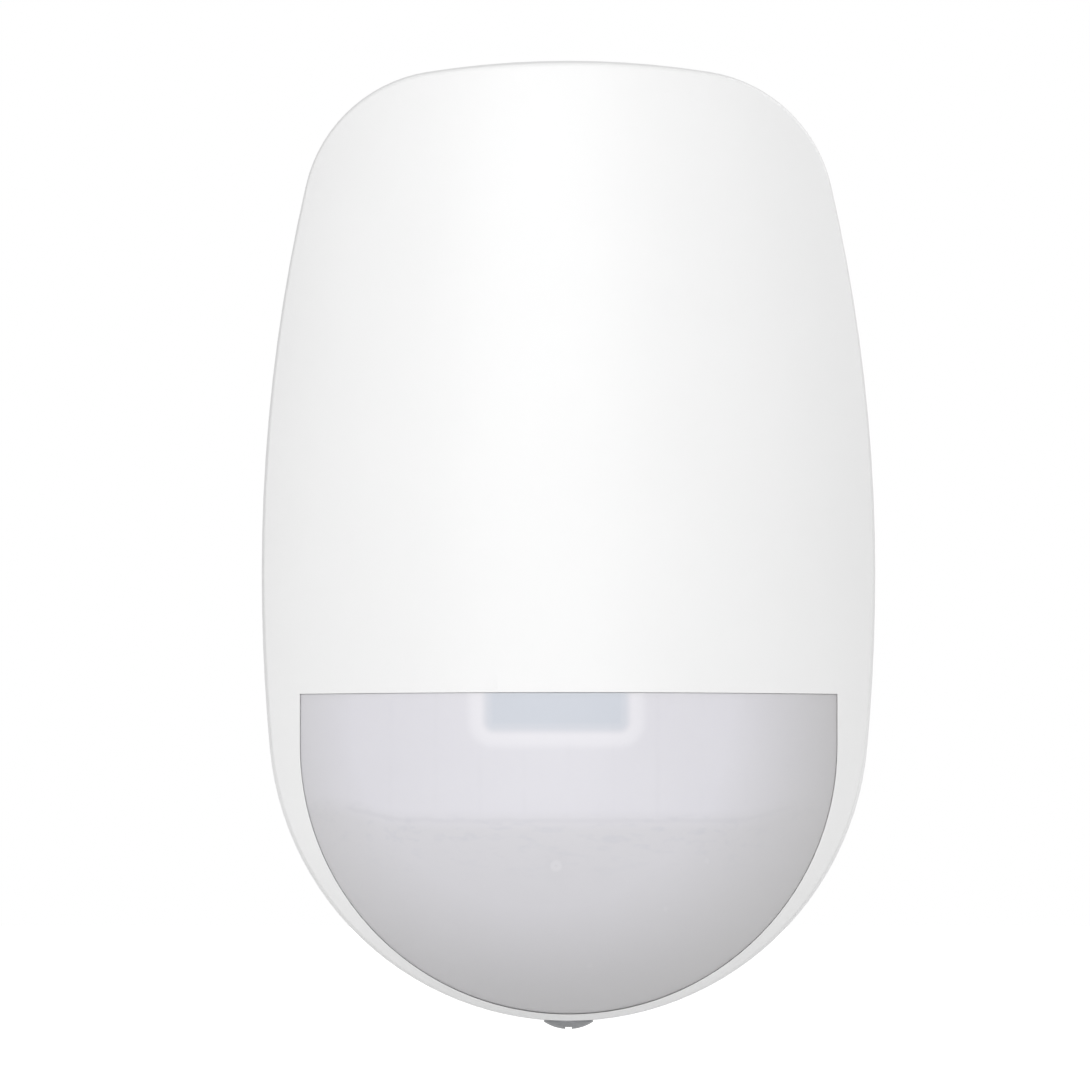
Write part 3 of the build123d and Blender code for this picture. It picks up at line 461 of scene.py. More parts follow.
def lens_polyethylene():
    """Milky plastic: scattered colour by lens row, border and what is behind, and painted shade
    towards the rim.
    """
    material, tree = blank_material("high-density polyethylene, moulded, milky")
    place = add(tree, "ShaderNodeTexCoord").outputs["Object"]
    split = add(tree, "ShaderNodeSeparateXYZ", {"Vector": place})
    wobble = add(tree, "ShaderNodeTexNoise", {"Vector": place, "Scale": per_mm(2.2), "Detail": 3.0})
    shift = add(tree, "ShaderNodeMath", {
        0: wobble.outputs["Fac"], 1: ROW_WAVE * MM, 2: -(ROW_Z + ROW_WAVE / 2) * MM,
    }, operation="MULTIPLY_ADD")
    across = add(tree, "ShaderNodeMath", {0: split.outputs["X"]}, operation="ABSOLUTE")
    bent = add(tree, "ShaderNodeMapRange", {
        "Value": across.outputs[0], "From Min": BEND_START * MM, "From Max": BEND_FULL * MM,
        "To Max": BEND_RISE * MM,
    }, interpolation_type="SMOOTHSTEP")
    level = add(tree, "ShaderNodeMath", {
        0: shift.outputs[0], 1: bent.outputs["Result"],
    }, operation="SUBTRACT")
    above = add(tree, "ShaderNodeMath", {
        0: split.outputs["Z"], 1: level.outputs[0],
    }, operation="ADD").outputs[0]
    below_row = add(tree, "ShaderNodeMapRange", {
        "Value": above, "From Min": ROW_BLUR * MM, "From Max": -ROW_BLUR * MM,
    }).outputs["Result"]
    step = add(tree, "ShaderNodeMath", {0: above}, operation="ABSOLUTE")
    inside = add(tree, "ShaderNodeMapRange", {
        "Value": across.outputs[0], "From Min": (BORDER_X + BORDER_FADE) * MM,
        "From Max": (BORDER_X - BORDER_FADE) * MM,
    }).outputs["Result"]
    row_line = add(tree, "ShaderNodeMath", {
        0: profile(tree, step.outputs[0], ROW_PROFILE), 1: inside,
    }, operation="MULTIPLY")
    nearest = add(tree, "ShaderNodeMath", {
        0: split.outputs["X"], 1: BORDER_PITCH * MM / 2,
    }, operation="PINGPONG")
    worn = add(tree, "ShaderNodeTexNoise", {"Vector": place, "Scale": per_mm(6.0), "Detail": 2.0})
    seen_border = add(tree, "ShaderNodeMapRange", {
        "Value": worn.outputs["Fac"], "From Min": 0.38, "From Max": 0.62, "To Max": inside,
    }).outputs["Result"]
    streak = add(tree, "ShaderNodeMath", {
        0: profile(tree, nearest.outputs[0], BORDER_PROFILE), 1: seen_border,
    }, operation="MULTIPLY")
    upper_streak = add(tree, "ShaderNodeMapRange", {
        "Value": below_row, "From Min": 1.0, "From Max": 0.0,
        "To Max": streak.outputs[0],
    }).outputs["Result"]
    # Painted shade: distance from the lens's palest point, a little left of the top middle.
    radius = point_distance(tree, split, SHADE_CENTRE_X, SHADE_CENTRE_Z)
    painted_rim_shade = add(tree, "ShaderNodeMapRange", {
        "Value": radius, "From Min": SHADE_START_RADIUS * MM, "From Max": SHADE_FULL_RADIUS * MM,
    }).outputs["Result"]
    cloud = add(tree, "ShaderNodeTexNoise", {"Vector": place, "Scale": per_mm(9.0), "Detail": 4.0})
    low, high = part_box("light_guide")
    low += Vector((GUIDE_INSET, 0, GUIDE_INSET)) * MM
    high += Vector((-GUIDE_INSET, 0, GUIDE_ABOVE)) * MM
    guide = box_distance(tree, split, low, high)
    tone = add(tree, "ShaderNodeMix", {
        "Factor": cloud.outputs["Fac"], "A": linear("#E2E1E6"), "B": linear("#DDDCE2"),
    }, data_type="RGBA").outputs["Result"]
    tone = toned(tree, below_row, tone, "#D8D7DB")
    stretched = add(tree, "ShaderNodeMapping", {"Vector": place, "Scale": (0.3, 1.0, 1.0)})
    ripple = add(tree, "ShaderNodeTexNoise", {
        "Vector": stretched.outputs["Vector"], "Scale": per_mm(0.8), "Detail": 2.0,
    })
    under = add(tree, "ShaderNodeMapRange", {
        "Value": above, "From Min": -RIPPLE_REACH * MM, "From Max": 0.0,
    }).outputs["Result"]
    rippled = add(tree, "ShaderNodeMath", {
        0: add(tree, "ShaderNodeMapRange", {
            "Value": ripple.outputs["Fac"], "From Min": 0.52, "From Max": 0.7,
            "To Max": RIPPLE_STRENGTH,
        }).outputs["Result"],
        1: add(tree, "ShaderNodeMath", {0: under, 1: below_row}, operation="MULTIPLY").outputs[0],
    }, operation="MULTIPLY")
    tone = toned(tree, rippled.outputs[0], tone, "#C9CAD2")
    tone = toned(tree, row_line.outputs[0], tone, "#CFCED4")
    tone = toned(tree, upper_streak, tone, "#D3D2D8")
    # Painted shade: greyer towards the rim, more on the right and at the foot, where the dome turns
    # from the lamp.
    tone = toned(tree, painted_rim_shade, tone, "#C8C7C8")
    tone = toned(tree, profile(tree, guide, HALO_PROFILE), tone, "#F1F0F4")
    tone = toned(tree, profile(tree, guide, GUIDE_PROFILE), tone, "#C9CFD8")
    gate = point_distance(tree, split, *GATE)
    tone = toned(tree, profile(tree, gate, GATE_PROFILE), tone, "#EFEEF1")
    for x, z, strength in SPECKS:
        speck = point_distance(tree, split, x, z)
        fading = profile(tree, speck, [(0.0, strength), (SPECK_RADIUS, 0.0)])
        tone = toned(tree, fading, tone, "#EFEEF1")
    grain = add(tree, "ShaderNodeTexNoise", {"Vector": place, "Scale": per_mm(0.6), "Detail": 3.0})
    bump = add(tree, "ShaderNodeBump", {
        "Height": grain.outputs["Fac"], "Distance": 0.004 * MM, "Strength": 1.0,
    })
    finish_material(tree, add(tree, "ShaderNodeBsdfPrincipled", {
        "Base Color": tone, "Roughness": 0.42, "IOR": 1.54, "Normal": bump.outputs["Normal"],
        "Transmission Weight": 0.12, "Subsurface Weight": 0.3,
        "Subsurface Radius": (1.0, 1.0, 1.0), "Subsurface Scale": 0.8 * MM,
    }))
    return material


lens_plastic = lens_polyethylene()
print("lens made")

# %% [markdown]
# ## Clear and coated parts
#
# The light guide is polished polycarbonate, so it is nearly all transmission with the faintest
# blue. The heat sensor's window is a silicon filter, dark and mirror-like, with the purple cast of
# its coating.


# %% Light guide and sensor window
def polished_clear(name, colour, roughness):
    """A clear plastic with faint flow lines."""
    material, tree = blank_material(name)
    place = add(tree, "ShaderNodeTexCoord").outputs["Object"]
    flow = add(tree, "ShaderNodeTexNoise", {"Vector": place, "Scale": per_mm(5.0), "Detail": 3.0})
    bump = add(tree, "ShaderNodeBump", {
        "Height": flow.outputs["Fac"], "Distance": 0.02 * MM, "Strength": 1.0,
    })
    finish_material(tree, add(tree, "ShaderNodeBsdfPrincipled", {
        "Base Color": linear(colour), "Roughness": roughness, "IOR": 1.585,
        "Transmission Weight": 0.7, "Normal": bump.outputs["Normal"],
    }))
    return material


guide_clear = polished_clear("clear polycarbonate, moulded and polished", "#C9D6E2", 0.08)
silicon_filter = drawn_metal(
    "coated silicon, polished", "#3A3550", "#2A2740", 0.5, (1, 1, 1), 0.14)
print("clear parts made")

# %% [markdown]
# ## Circuit board
#
# The board is green solder mask over woven glass. The weave shows through the mask as a faint
# check, and the copper under it stands up by a few hundredths of a millimetre and looks lighter.
# Real glass cloth is finer than the 1.4 mm drawn here, which is as coarse as it needs to show.


# %% Board laminate
WEAVE_MM = 1.382
WAVES_AT_SCALE_ONE = 20 / (2 * math.pi)


def solder_mask(name, colour, lighter):
    """Solder mask: a weave of two crossed waves under a glossy coat."""
    material, tree = blank_material(name)
    place = add(tree, "ShaderNodeTexCoord").outputs["Object"]
    warp = add(tree, "ShaderNodeTexWave", {
        "Vector": place, "Scale": per_mm(WEAVE_MM) / WAVES_AT_SCALE_ONE, "Distortion": 0.3,
    }, bands_direction="X")
    weft = add(tree, "ShaderNodeTexWave", {
        "Vector": place, "Scale": per_mm(WEAVE_MM) / WAVES_AT_SCALE_ONE, "Distortion": 0.3,
    }, bands_direction="Z")
    weave = add(tree, "ShaderNodeMath", {
        0: warp.outputs["Fac"], 1: weft.outputs["Fac"],
    }, operation="MULTIPLY")
    colours = add(tree, "ShaderNodeMix", {
        "Factor": weave.outputs["Value"], "A": linear(colour), "B": linear(lighter),
    }, data_type="RGBA")
    bump = add(tree, "ShaderNodeBump", {
        "Height": weave.outputs["Value"], "Distance": 0.01 * MM, "Strength": 1.0,
    })
    finish_material(tree, add(tree, "ShaderNodeBsdfPrincipled", {
        "Base Color": colours.outputs["Result"], "Roughness": 0.3,
        "Normal": bump.outputs["Normal"], "Coat Weight": 0.4, "Coat Roughness": 0.12,
    }))
    return material


mask_green = solder_mask("green solder mask over glass-epoxy laminate", "#0F4A2A", "#135233")
mask_blue = solder_mask("blue solder mask over glass-epoxy laminate", "#15294F", "#182F58")
print("board finishes made")

# %% [markdown]
# ## Battery sleeve
#
# The cell wears a thin PVC tube, shrunk on by heat. It is glossy, with faint ripples where it
# pulled tight, and printed in two colours with a pale ring between them.

# %% Battery sleeve
BAND_SHARE = 0.72
BAND_WIDTH = 1.2


def shrunk_sleeve():
    """Two colours that meet at a ring near the top, over a rippled glossy film."""
    material, tree = blank_material("blue PVC sleeve, heat shrunk, glossy")
    place = add(tree, "ShaderNodeTexCoord").outputs["Object"]
    height = add(tree, "ShaderNodeSeparateXYZ", {"Vector": place}).outputs["Z"]
    low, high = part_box("battery_sleeve")
    band = low.z + BAND_SHARE * (high.z - low.z)
    above = add(tree, "ShaderNodeMath", {0: height, 1: band}, operation="GREATER_THAN")
    past = add(tree, "ShaderNodeMath", {
        0: height, 1: band + BAND_WIDTH * MM,
    }, operation="GREATER_THAN")
    ripple = add(tree, "ShaderNodeTexNoise", {"Vector": place, "Scale": per_mm(2.4), "Detail": 2.0})
    blue = add(tree, "ShaderNodeMix", {
        "Factor": ripple.outputs["Fac"], "A": linear("#20406F"), "B": linear("#1C3863"),
    }, data_type="RGBA").outputs["Result"]
    ringed = toned(tree, above.outputs[0], blue, "#D9D9D6")
    colours = toned(tree, past.outputs[0], ringed, "#8E9AA8")
    bump_node = add(tree, "ShaderNodeBump", {
        "Height": ripple.outputs["Fac"], "Distance": 0.02 * MM, "Strength": 1.0,
    })
    finish_material(tree, add(tree, "ShaderNodeBsdfPrincipled", {
        "Base Color": colours, "Roughness": 0.22, "IOR": 1.53,
        "Normal": bump_node.outputs["Normal"],
    }))
    return material


pvc_blue = shrunk_sleeve()
print("sleeve made")

# %% [markdown]
# ## Surfaces from formulas
#
# The small pieces below are closed surfaces worked out as whole arrays. A strip is a flat
# rectangle carried along a path with mitred corners; a solder bump is a dome over a rectangle.
# One function puts any of them into a mesh, joined into one object per finish, because that is
# how they are made: etched, printed or soldered in one go.


# %% Meshes
def make_piece(name, parts, material, body, smooth=True):
    """Joins (points, faces) parts in millimetres into one mesh that rides on a body."""
    starts = np.cumsum([0] + [len(points) for points, _ in parts[:-1]])
    points = np.vstack([points for points, _ in parts]) * MM
    faces = [(face + start).tolist() for (_, block), start in zip(parts, starts) for face in block]
    mesh = bpy.data.meshes.new(name)
    mesh.from_pydata(points.tolist(), [], faces)
    mesh.polygons.foreach_set("use_smooth", np.full(len(faces), smooth))
    mesh.materials.append(material)
    mesh.update()
    piece = bpy.data.objects.new(name, mesh)
    bpy.context.scene.collection.objects.link(piece)
    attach(piece, body)
    print(name, len(faces), "faces")
    return piece


def grid_faces(rows, columns, wrap=False):
    """Quads between neighbouring rows and columns of a grid, closed round when wrap is set."""
    last = columns if wrap else columns - 1
    row, column = np.meshgrid(np.arange(rows - 1), np.arange(last), indexing="ij")
    near = row * columns + column
    near_next = row * columns + (column + 1) % columns
    return np.stack([near, near_next, near_next + columns, near + columns], axis=-1).reshape(-1, 4)


def strip(path, width, height, back, closed=False):
    """A flat bar along X-Z points: each corner moves out by half the width over cos(turn / 2)."""
    path = np.asarray(path, float)
    ahead = np.roll(path, -1, axis=0) - path
    behind = path - np.roll(path, 1, axis=0)
    if not closed:
        ahead[-1] = behind[-1]
        behind[0] = ahead[0]
    ahead /= np.linalg.norm(ahead, axis=1, keepdims=True)
    behind /= np.linalg.norm(behind, axis=1, keepdims=True)
    middle = ahead + behind
    middle /= np.linalg.norm(middle, axis=1, keepdims=True)
    reach = width / 2 / np.sum(middle * ahead, axis=1, keepdims=True)
    side = np.stack([-middle[:, 1], middle[:, 0]], axis=1) * reach
    depths = np.array([-back, -back, -back - height, -back - height])
    across = np.array([1, -1, -1, 1])[None, :, None] * side[:, None, :]
    flat = path[:, None, :] + across
    points = np.stack([flat[..., 0], np.broadcast_to(depths, flat.shape[:2]), flat[..., 1]], -1)
    count = len(path)
    ring = np.arange(count if closed else count - 1)[:, None]
    corner = np.arange(4)[None, :]
    following = (ring + 1) % count
    faces = np.stack([ring * 4 + corner, ring * 4 + (corner + 1) % 4,
                      following * 4 + (corner + 1) % 4, following * 4 + corner], -1)
    blocks = list(faces.reshape(-1, 4))
    if not closed:
        blocks += [np.array([3, 2, 1, 0]), (count - 1) * 4 + np.arange(4)]
    return points.reshape(-1, 3), blocks


def bump(x, z, half_x, half_z, height, back, steps=9):
    """A solder dome: height * (1 - u**4) * (1 - v**4) over a rectangle, closed underneath."""
    line = np.sin(np.linspace(-np.pi / 2, np.pi / 2, steps))
    u, v = np.meshgrid(line, line, indexing="ij")
    rise = height * (1 - u**4) * (1 - v**4)
    points = np.stack([x + half_x * u, -back - rise, z + half_z * v], -1).reshape(-1, 3)
    faces = list(grid_faces(steps, steps))
    index = np.arange(steps * steps).reshape(steps, steps)
    rim = np.concatenate([index[0, :-1], index[:-1, -1], index[-1, :0:-1], index[:0:-1, 0]])
    return points, faces + [rim[::-1]]


def middle_mm(node):
    """The middle of a part's box in X and Z, in millimetres."""
    low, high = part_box(node)
    return np.array([low.x + high.x, low.z + high.z]) / 2 / MM


def half_mm(node):
    """Half the size of a part's box in X and Z, in millimetres."""
    low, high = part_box(node)
    return np.array([high.x - low.x, high.z - low.z]) / 2 / MM


BOARD_FRONT = -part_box("circuit_board")[0].y / MM
BOARD_BACK = -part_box("circuit_board")[1].y / MM
SUNK = 0.01
print("board from", round(BOARD_BACK, 2), "to", round(BOARD_FRONT, 2), "mm in front of the wall")

# %% [markdown]
# ## Tracks, outlines and solder
#
# A bare green plate doesn't look like a circuit board. What tells the eye is copper under the
# mask, running upright with 45-degree bends, white printed outlines round the parts, and bright
# solder at every leg. Tracks are lighter than the board, because the mask lies over copper. Real
# copper is 0.035 mm high, and these are drawn a little higher so that they catch the light.

# %% Tracks under the mask
TRACK_WIDTH = 0.25
CORNER_CUT = 0.35
TRACK_HEIGHT = 0.05
track_mask = moulded_plastic(
    "green solder mask over copper, glossy", "#1E6B42", "#1A6139", 0.5, 0.004, 0.28)


def routed(corners):
    """Straight runs between corners, each inner corner cut back along both of its runs."""
    corners = np.asarray(corners, float)
    if len(corners) == 2:
        return corners
    runs = np.diff(corners, axis=0)
    runs /= np.linalg.norm(runs, axis=1, keepdims=True)
    before = corners[1:-1] - CORNER_CUT * runs[:-1]
    after = corners[1:-1] + CORNER_CUT * runs[1:]
    cut = np.stack([before, after], 1).reshape(-1, 2)
    return np.vstack([corners[:1], cut, corners[-1:]])


chip = middle_mm("microcontroller")
chip_reach = half_mm("microcontroller")[0]
dip = middle_mm("dip_switch_body")
radio = middle_mm("rf_module_board")
radio_reach = half_mm("rf_module_board")[0]
sensor = middle_mm("sensor_can")
button = middle_mm("enrol_switch_body")
tamper = middle_mm("cover_tamper_switch_body")
lamp = middle_mm("status_led")
capacitor = middle_mm("smoothing_capacitor")
aerial = middle_mm("antenna")
aerial_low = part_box("antenna")[0].z / MM
aerial_foot = aerial[0] + half_mm("antenna")[0] - 0.35
board_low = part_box("circuit_board")[0].z / MM
board_edge = half_mm("circuit_board")[0]
LEG_PITCH = 0.65
LEGS = 8
MIDDLE_LEG = (LEGS - 1) / 2
DIP_HALF_PITCH = 1.27
DIP_LEG = 3.8

# From the chip's left legs to the slide switches: the run nearest the chip turns lowest.
switch_ends = [
    [(dip[0] + 4.9, dip[1] - 4.9), (dip[0] - DIP_HALF_PITCH, dip[1] - 4.9),
     (dip[0] - DIP_HALF_PITCH, dip[1] - 4.0)],
    [(dip[0] + 4.3, dip[1] - 4.3), (dip[0] + DIP_HALF_PITCH, dip[1] - 4.3),
     (dip[0] + DIP_HALF_PITCH, dip[1] - 3.4)],
    [(dip[0] + DIP_HALF_PITCH, dip[1] + DIP_LEG)],
    [(dip[0] - DIP_HALF_PITCH, dip[1] + DIP_LEG)],
]
links = []
for k, ends in enumerate(switch_ends):
    leg = chip[1] + (k - MIDDLE_LEG) * LEG_PITCH
    drop = chip[0] - chip_reach - 1.0 - 0.5 * k
    level = chip[1] - 7.0 + 0.55 * k
    links.append([(chip[0] - chip_reach, leg), (drop, leg), (drop, level),
                  (ends[0][0], level), *ends])
# From its right legs to the radio: the run furthest from the chip takes the highest pad.
for k in range(3):
    leg = chip[1] + (k - MIDDLE_LEG) * LEG_PITCH
    drop = chip[0] + chip_reach + 0.75 + 0.5 * k
    pad = radio[1] + 1.0 + 2.0 * k
    links.append([(chip[0] + chip_reach, leg), (drop, leg), (drop, pad),
                  (radio[0] - radio_reach, pad)])
# Supply runs up both edges, and the rest.
for side in (-1, 1):
    for step in (1.4, 2.2):
        links.append([(side * (board_edge - step), 10.0), (side * (board_edge - step), -28.5)])
    links.append([(sensor[0] + 2.0 * side, sensor[1] - 5.4),
                  (sensor[0] + 2.0 * side, board_low + 1.3), (16.0 * side, board_low + 1.3)])
    links.append([(capacitor[0] + side, capacitor[1] - 4.2),
                  (capacitor[0] + side, button[1] + 3.8)])
    links.append([(tamper[0] + 2.0 * side, tamper[1] - 2.6),
                  (tamper[0] + 2.0 * side, radio[1] + 7.0)])
links.append([(aerial_foot, aerial_low), (aerial_foot, radio[1] + 9.0),
              (radio[0] + 4.4, radio[1] + 9.0), (radio[0] + 4.4, radio[1] + 7.0)])
tracks = [strip(routed(path), TRACK_WIDTH, TRACK_HEIGHT + SUNK, BOARD_FRONT - SUNK)
          for path in links]
make_piece("board_tracks", tracks, track_mask, "wall_base", smooth=False)

# %% Printed outlines
INK_WIDTH = 0.2
INK_HEIGHT = 0.03
INK_GAP = 0.55
board_ink = moulded_plastic(
    "white board ink, screen printed", "#DDDDD4", "#CBCBC2", 0.2, 0.01, 0.6)


def frame_path(node, gap=INK_GAP):
    """The rectangle round a part's box, in X and Z."""
    (x, z), (half_x, half_z) = middle_mm(node), half_mm(node) + gap
    return [(x - half_x, z - half_z), (x + half_x, z - half_z),
            (x + half_x, z + half_z), (x - half_x, z + half_z)]


def circle_path(x, z, radius, steps=48):
    """Points at equal turns round a circle."""
    turn = np.linspace(0, 2 * np.pi, steps, endpoint=False)
    return np.stack([x + radius * np.cos(turn), z + radius * np.sin(turn)], 1)


outlined = ["microcontroller", "dip_switch_body", "rf_module_board", "enrol_switch_body",
            "cover_tamper_switch_body", "smoothing_capacitor", "status_led"]
ink = [strip(frame_path(node), INK_WIDTH, INK_HEIGHT + SUNK, BOARD_FRONT - SUNK, closed=True)
       for node in outlined]
ink += [strip(circle_path(*sensor, half_mm("sensor_spacer")[0] + INK_GAP), INK_WIDTH,
              INK_HEIGHT + SUNK, BOARD_FRONT - SUNK, closed=True)]
ink += [strip(circle_path(chip[0] - 5.1, chip[1] + 5.1, 0.25, 16), INK_WIDTH,
              INK_HEIGHT + SUNK, BOARD_FRONT - SUNK, closed=True)]
make_piece("board_outlines", ink, board_ink, "wall_base", smooth=False)

# %% Solder
solder_tin = drawn_metal("tin-silver solder, reflowed", "#C9CACB", "#B3B5B8", 0.4, (1, 1, 1), 0.2)
LEG_PAD = (0.22, 0.75, 0.16)
DIP_PAD = (0.65, 0.55, 0.35)
BUTTON_PAD = (0.6, 0.65, 0.4)
TAMPER_PAD = (0.6, 0.5, 0.35)
CAPACITOR_PAD = (0.9, 0.6, 0.3)
LAMP_PAD = (0.35, 0.7, 0.3)
RADIO_PAD = (0.5, 0.5, 0.6)
AERIAL_PAD = (0.8, 0.8, 0.45)
CHIP_PAD = (0.4, 0.6, 0.35)
DIP_ROW = 3.75
ROW_OF_LEGS = (np.arange(LEGS) - MIDDLE_LEG) * LEG_PITCH


def pads(places, half_x, half_z, height, back=BOARD_FRONT - SUNK):
    """One solder dome of the same size at each place."""
    return [bump(x, z, half_x, half_z, height, back) for x, z in places]


reach = half_mm("microcontroller")[0] - 0.15
solder = pads([(chip[0] + row, chip[1] + side * reach) for row in ROW_OF_LEGS for side in (-1, 1)],
              LEG_PAD[0], LEG_PAD[1] / 2, LEG_PAD[2])
solder += pads([(chip[0] + side * reach, chip[1] + row) for row in ROW_OF_LEGS for side in (-1, 1)],
               LEG_PAD[1] / 2, LEG_PAD[0], LEG_PAD[2])
solder += pads([(dip[0] + x, dip[1] + side * DIP_ROW) for x in (-DIP_HALF_PITCH, DIP_HALF_PITCH)
                for side in (-1, 1)], *DIP_PAD)
solder += pads([(button[0] + side * 3.5, button[1] + z) for z in (-2.25, 2.25)
                for side in (-1, 1)], *BUTTON_PAD)
solder += pads([(tamper[0] + x, tamper[1] + side * 2.2) for x in (-2.0, 2.0)
                for side in (-1, 1)], *TAMPER_PAD)
solder += pads([(capacitor[0], capacitor[1] + side * 3.6) for side in (-1, 1)], *CAPACITOR_PAD)
solder += pads([(lamp[0] + side * 1.2, lamp[1]) for side in (-1, 1)], *LAMP_PAD)
solder += pads([(radio[0] + side * half_mm("rf_module_board")[0], radio[1] + z)
                for z in np.arange(-5, 6, 2.0) for side in (-1, 1)], *RADIO_PAD)
solder += pads([(aerial_foot, aerial_low + 0.35)], *AERIAL_PAD)
bead_low, bead_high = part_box("chip_components")
BEAD_ROWS = 4
BEAD_HALF = 1.0
BEAD_DEEP = 1.25
bead_step = ((bead_high.z - bead_low.z) / MM - BEAD_DEEP) / (BEAD_ROWS - 1)
bead_rows = bead_low.z / MM + BEAD_DEEP / 2 + bead_step * np.arange(BEAD_ROWS)
bead_columns = (bead_low.x / MM + BEAD_HALF, bead_high.x / MM - BEAD_HALF)
solder += pads([(x + side * (BEAD_HALF + 0.15), z) for x in bead_columns for z in bead_rows
                for side in (-1, 1)], *CHIP_PAD)
make_piece("solder_joints", solder, solder_tin, "wall_base")

# %% [markdown]
# ## The lens's inner face
#
# Behind the smooth outer skin the lens is an array: three rows of small lenses, each flattened
# into rings that step back to the same thickness, as a Fresnel lens does. A ring's height falls
# from its inner to its outer edge, and then jumps back. It shows when the cover is open. The real
# rings are 0.2 to 0.4 mm apart, and these are drawn 1 mm apart so that they can be seen.
#
# The casing's front is a surface of revolution about an upright axis, so the depth of any layer
# is the axis's depth plus the square root of R(z) squared less x squared. R comes from an arc
# above, an upright line, and an arc below.

# %% Lens array
TOP_Z = 51.5
HALF_WIDTH = 32.9
CREST_DEPTH = 48.5
SIDE_DEPTH = 31.6
TOP_DEPTH = 38.0
DOME_RADIUS = 24.3
DOME_BELOW_FOOT = 0.8
NOSE_RISE = 6.0
WINDOW_TOP = -16.3
WINDOW_FOOT = -50.5
WINDOW_WIDTH = 57.26
DOME_Z = -TOP_Z - DOME_BELOW_FOOT + DOME_RADIUS
NOSE_Z = DOME_Z + NOSE_RISE
SIDE_FALL = CREST_DEPTH - SIDE_DEPTH
BARREL_RADIUS = (HALF_WIDTH**2 + SIDE_FALL**2) / (2 * SIDE_FALL)
LEAN_FALL = CREST_DEPTH - TOP_DEPTH
LEAN_RADIUS = ((TOP_Z - NOSE_Z)**2 + LEAN_FALL**2) / (2 * LEAN_FALL)
SKIN_BACK = 1.13
ARRAY_THICKNESS = 0.06
RING_STEP = 0.13
RING_PITCH = 1.0
ARRAY_HALF = 27.48
ARRAY_DROP = 1.2
ARRAY_TURN = 84
ROW_FLOOR = -49.0
ROW_EDGES = (-16.0, ROW_Z, -39.0, -52.0)
ROW_LENSES = (10, 6, 4)
ARRAY_COLUMNS = 230
ARRAY_STRAIGHT_ROWS = 22
ARRAY_ROUND_ROWS = 130


def front_depth(x, z, inset):
    """Depth of the casing's front drawn in by inset: axis + sqrt(R(z)**2 - x**2)."""
    lean = BARREL_RADIUS - LEAN_RADIUS + np.sqrt(
        (LEAN_RADIUS - inset)**2 - np.clip(z - NOSE_Z, 0, None)**2)
    dome = BARREL_RADIUS - DOME_RADIUS + np.sqrt(
        (DOME_RADIUS - inset)**2 - np.clip(DOME_Z - z, 0, None)**2)
    radius = np.where(z > NOSE_Z, lean, np.where(z < DOME_Z, dome, BARREL_RADIUS - inset))
    return CREST_DEPTH - BARREL_RADIUS + np.sqrt(radius**2 - x**2)


def ring_height(x, z):
    """The saw of each small lens: 1 at the inner edge of a ring, falling to 0 at its outer."""
    height = np.zeros_like(x)
    for top, low, count in zip(ROW_EDGES, ROW_EDGES[1:], ROW_LENSES):
        inside = (z <= top) & (z > low)
        cell = 2 * ARRAY_HALF / count
        from_middle = (x + ARRAY_HALF) % cell - cell / 2
        radius = np.hypot(from_middle, z - (top + max(low, ROW_FLOOR)) / 2)
        height = np.where(inside, 1 - (radius / RING_PITCH) % 1, height)
    return height


array_top = WINDOW_TOP - ARRAY_DROP
round_z = WINDOW_FOOT + WINDOW_WIDTH / 2
straight = np.linspace(array_top, round_z, ARRAY_STRAIGHT_ROWS, endpoint=False)
turn = np.linspace(0, np.radians(ARRAY_TURN), ARRAY_ROUND_ROWS)
level = np.concatenate([straight, round_z - ARRAY_HALF * np.sin(turn)])
half_width = np.concatenate([np.full(ARRAY_STRAIGHT_ROWS, ARRAY_HALF),
                             ARRAY_HALF * np.cos(turn)])
share = np.linspace(-1, 1, ARRAY_COLUMNS)
x = half_width[:, None] * share[None, :]
z = np.broadcast_to(level[:, None], x.shape)
near = front_depth(x, z, SKIN_BACK)
far = front_depth(x, z, SKIN_BACK + ARRAY_THICKNESS + RING_STEP * ring_height(x, z))
rows, columns = x.shape
layer = [np.stack([x, -depth, z], -1).reshape(-1, 3) for depth in (near, far)]
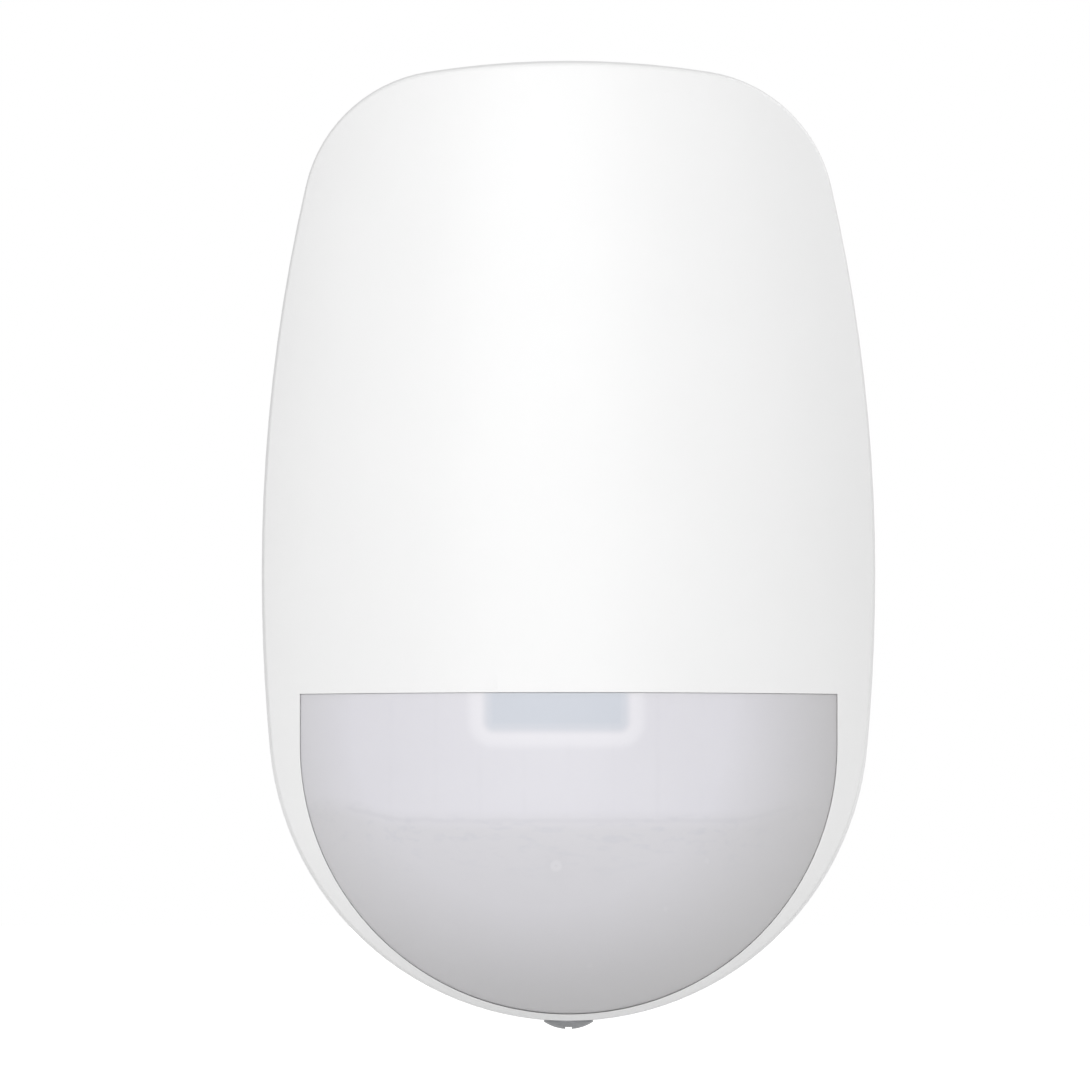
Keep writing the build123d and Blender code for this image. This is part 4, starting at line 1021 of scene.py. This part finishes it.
index = np.arange(rows * columns).reshape(rows, columns)
rim = np.concatenate([index[0, :-1], index[:-1, -1], index[-1, :0:-1], index[:0:-1, 0]])
rim_next = np.roll(rim, -1)
front = grid_faces(rows, columns)
back = grid_faces(rows, columns)[:, ::-1] + rows * columns
edge = np.stack([rim_next, rim, rim + rows * columns, rim_next + rows * columns], -1)
make_piece("lens_array", [(np.vstack(layer), np.vstack([front, back, edge]))], lens_plastic,
           "hinged_cover", smooth=False)
print("lens array stands", round(float(near.max() - far.min()), 2), "mm deep overall")

# %% [markdown]
# ## Dress the parts
#
# Each carried-over part takes the finish of its real material, by name.

# %% Give every part its finish
FINISHES = {
    abs_casing: ["front_cover", "rear_cover"],
    abs_frame: ["lens_retainer", "wall_tamper_plunger"],
    lens_plastic: ["fresnel_lens"],
    guide_clear: ["light_guide"],
    mask_green: ["circuit_board"],
    mask_blue: ["rf_module_board"],
    screw_steel: ["cover_screw"],
    zinc_steel: ["board_screws", "retainer_screws"],
    tin_plate: ["rf_shield_can"],
    nickel_can: ["sensor_can", "battery_can"],
    spring_nickel: ["sensor_leads", "battery_contact_plus", "battery_contact_spring",
                    "wall_tamper_spring"],
    silicon_filter: ["sensor_window"],
    nylon_spacer: ["sensor_spacer"],
    epoxy_black: ["microcontroller"],
    chip_ceramic: ["chip_components"],
    copper_wire: ["antenna"],
    capacitor_aluminium: ["smoothing_capacitor"],
    pvc_blue: ["battery_sleeve"],
    nylon_black: ["battery_holder"],
    phenolic_black: ["enrol_switch_body", "cover_tamper_switch_body", "wall_tamper_switch_body"],
    nylon_red: ["dip_switch_body"],
    acetal_white: ["dip_slider_1", "dip_slider_2", "cover_tamper_plunger"],
    acetal_ivory: ["enrol_button"],
    led_epoxy: ["status_led"],
    label_film: ["rating_label"],
}

for material, names in FINISHES.items():
    for name in names:
        part = nodes[name]
        part.data.materials.clear()
        part.data.materials.append(material)
dressed = {name for names in FINISHES.values() for name in names}
print("dressed", len(dressed), "of", len(nodes), "left", sorted(set(nodes) - dressed))
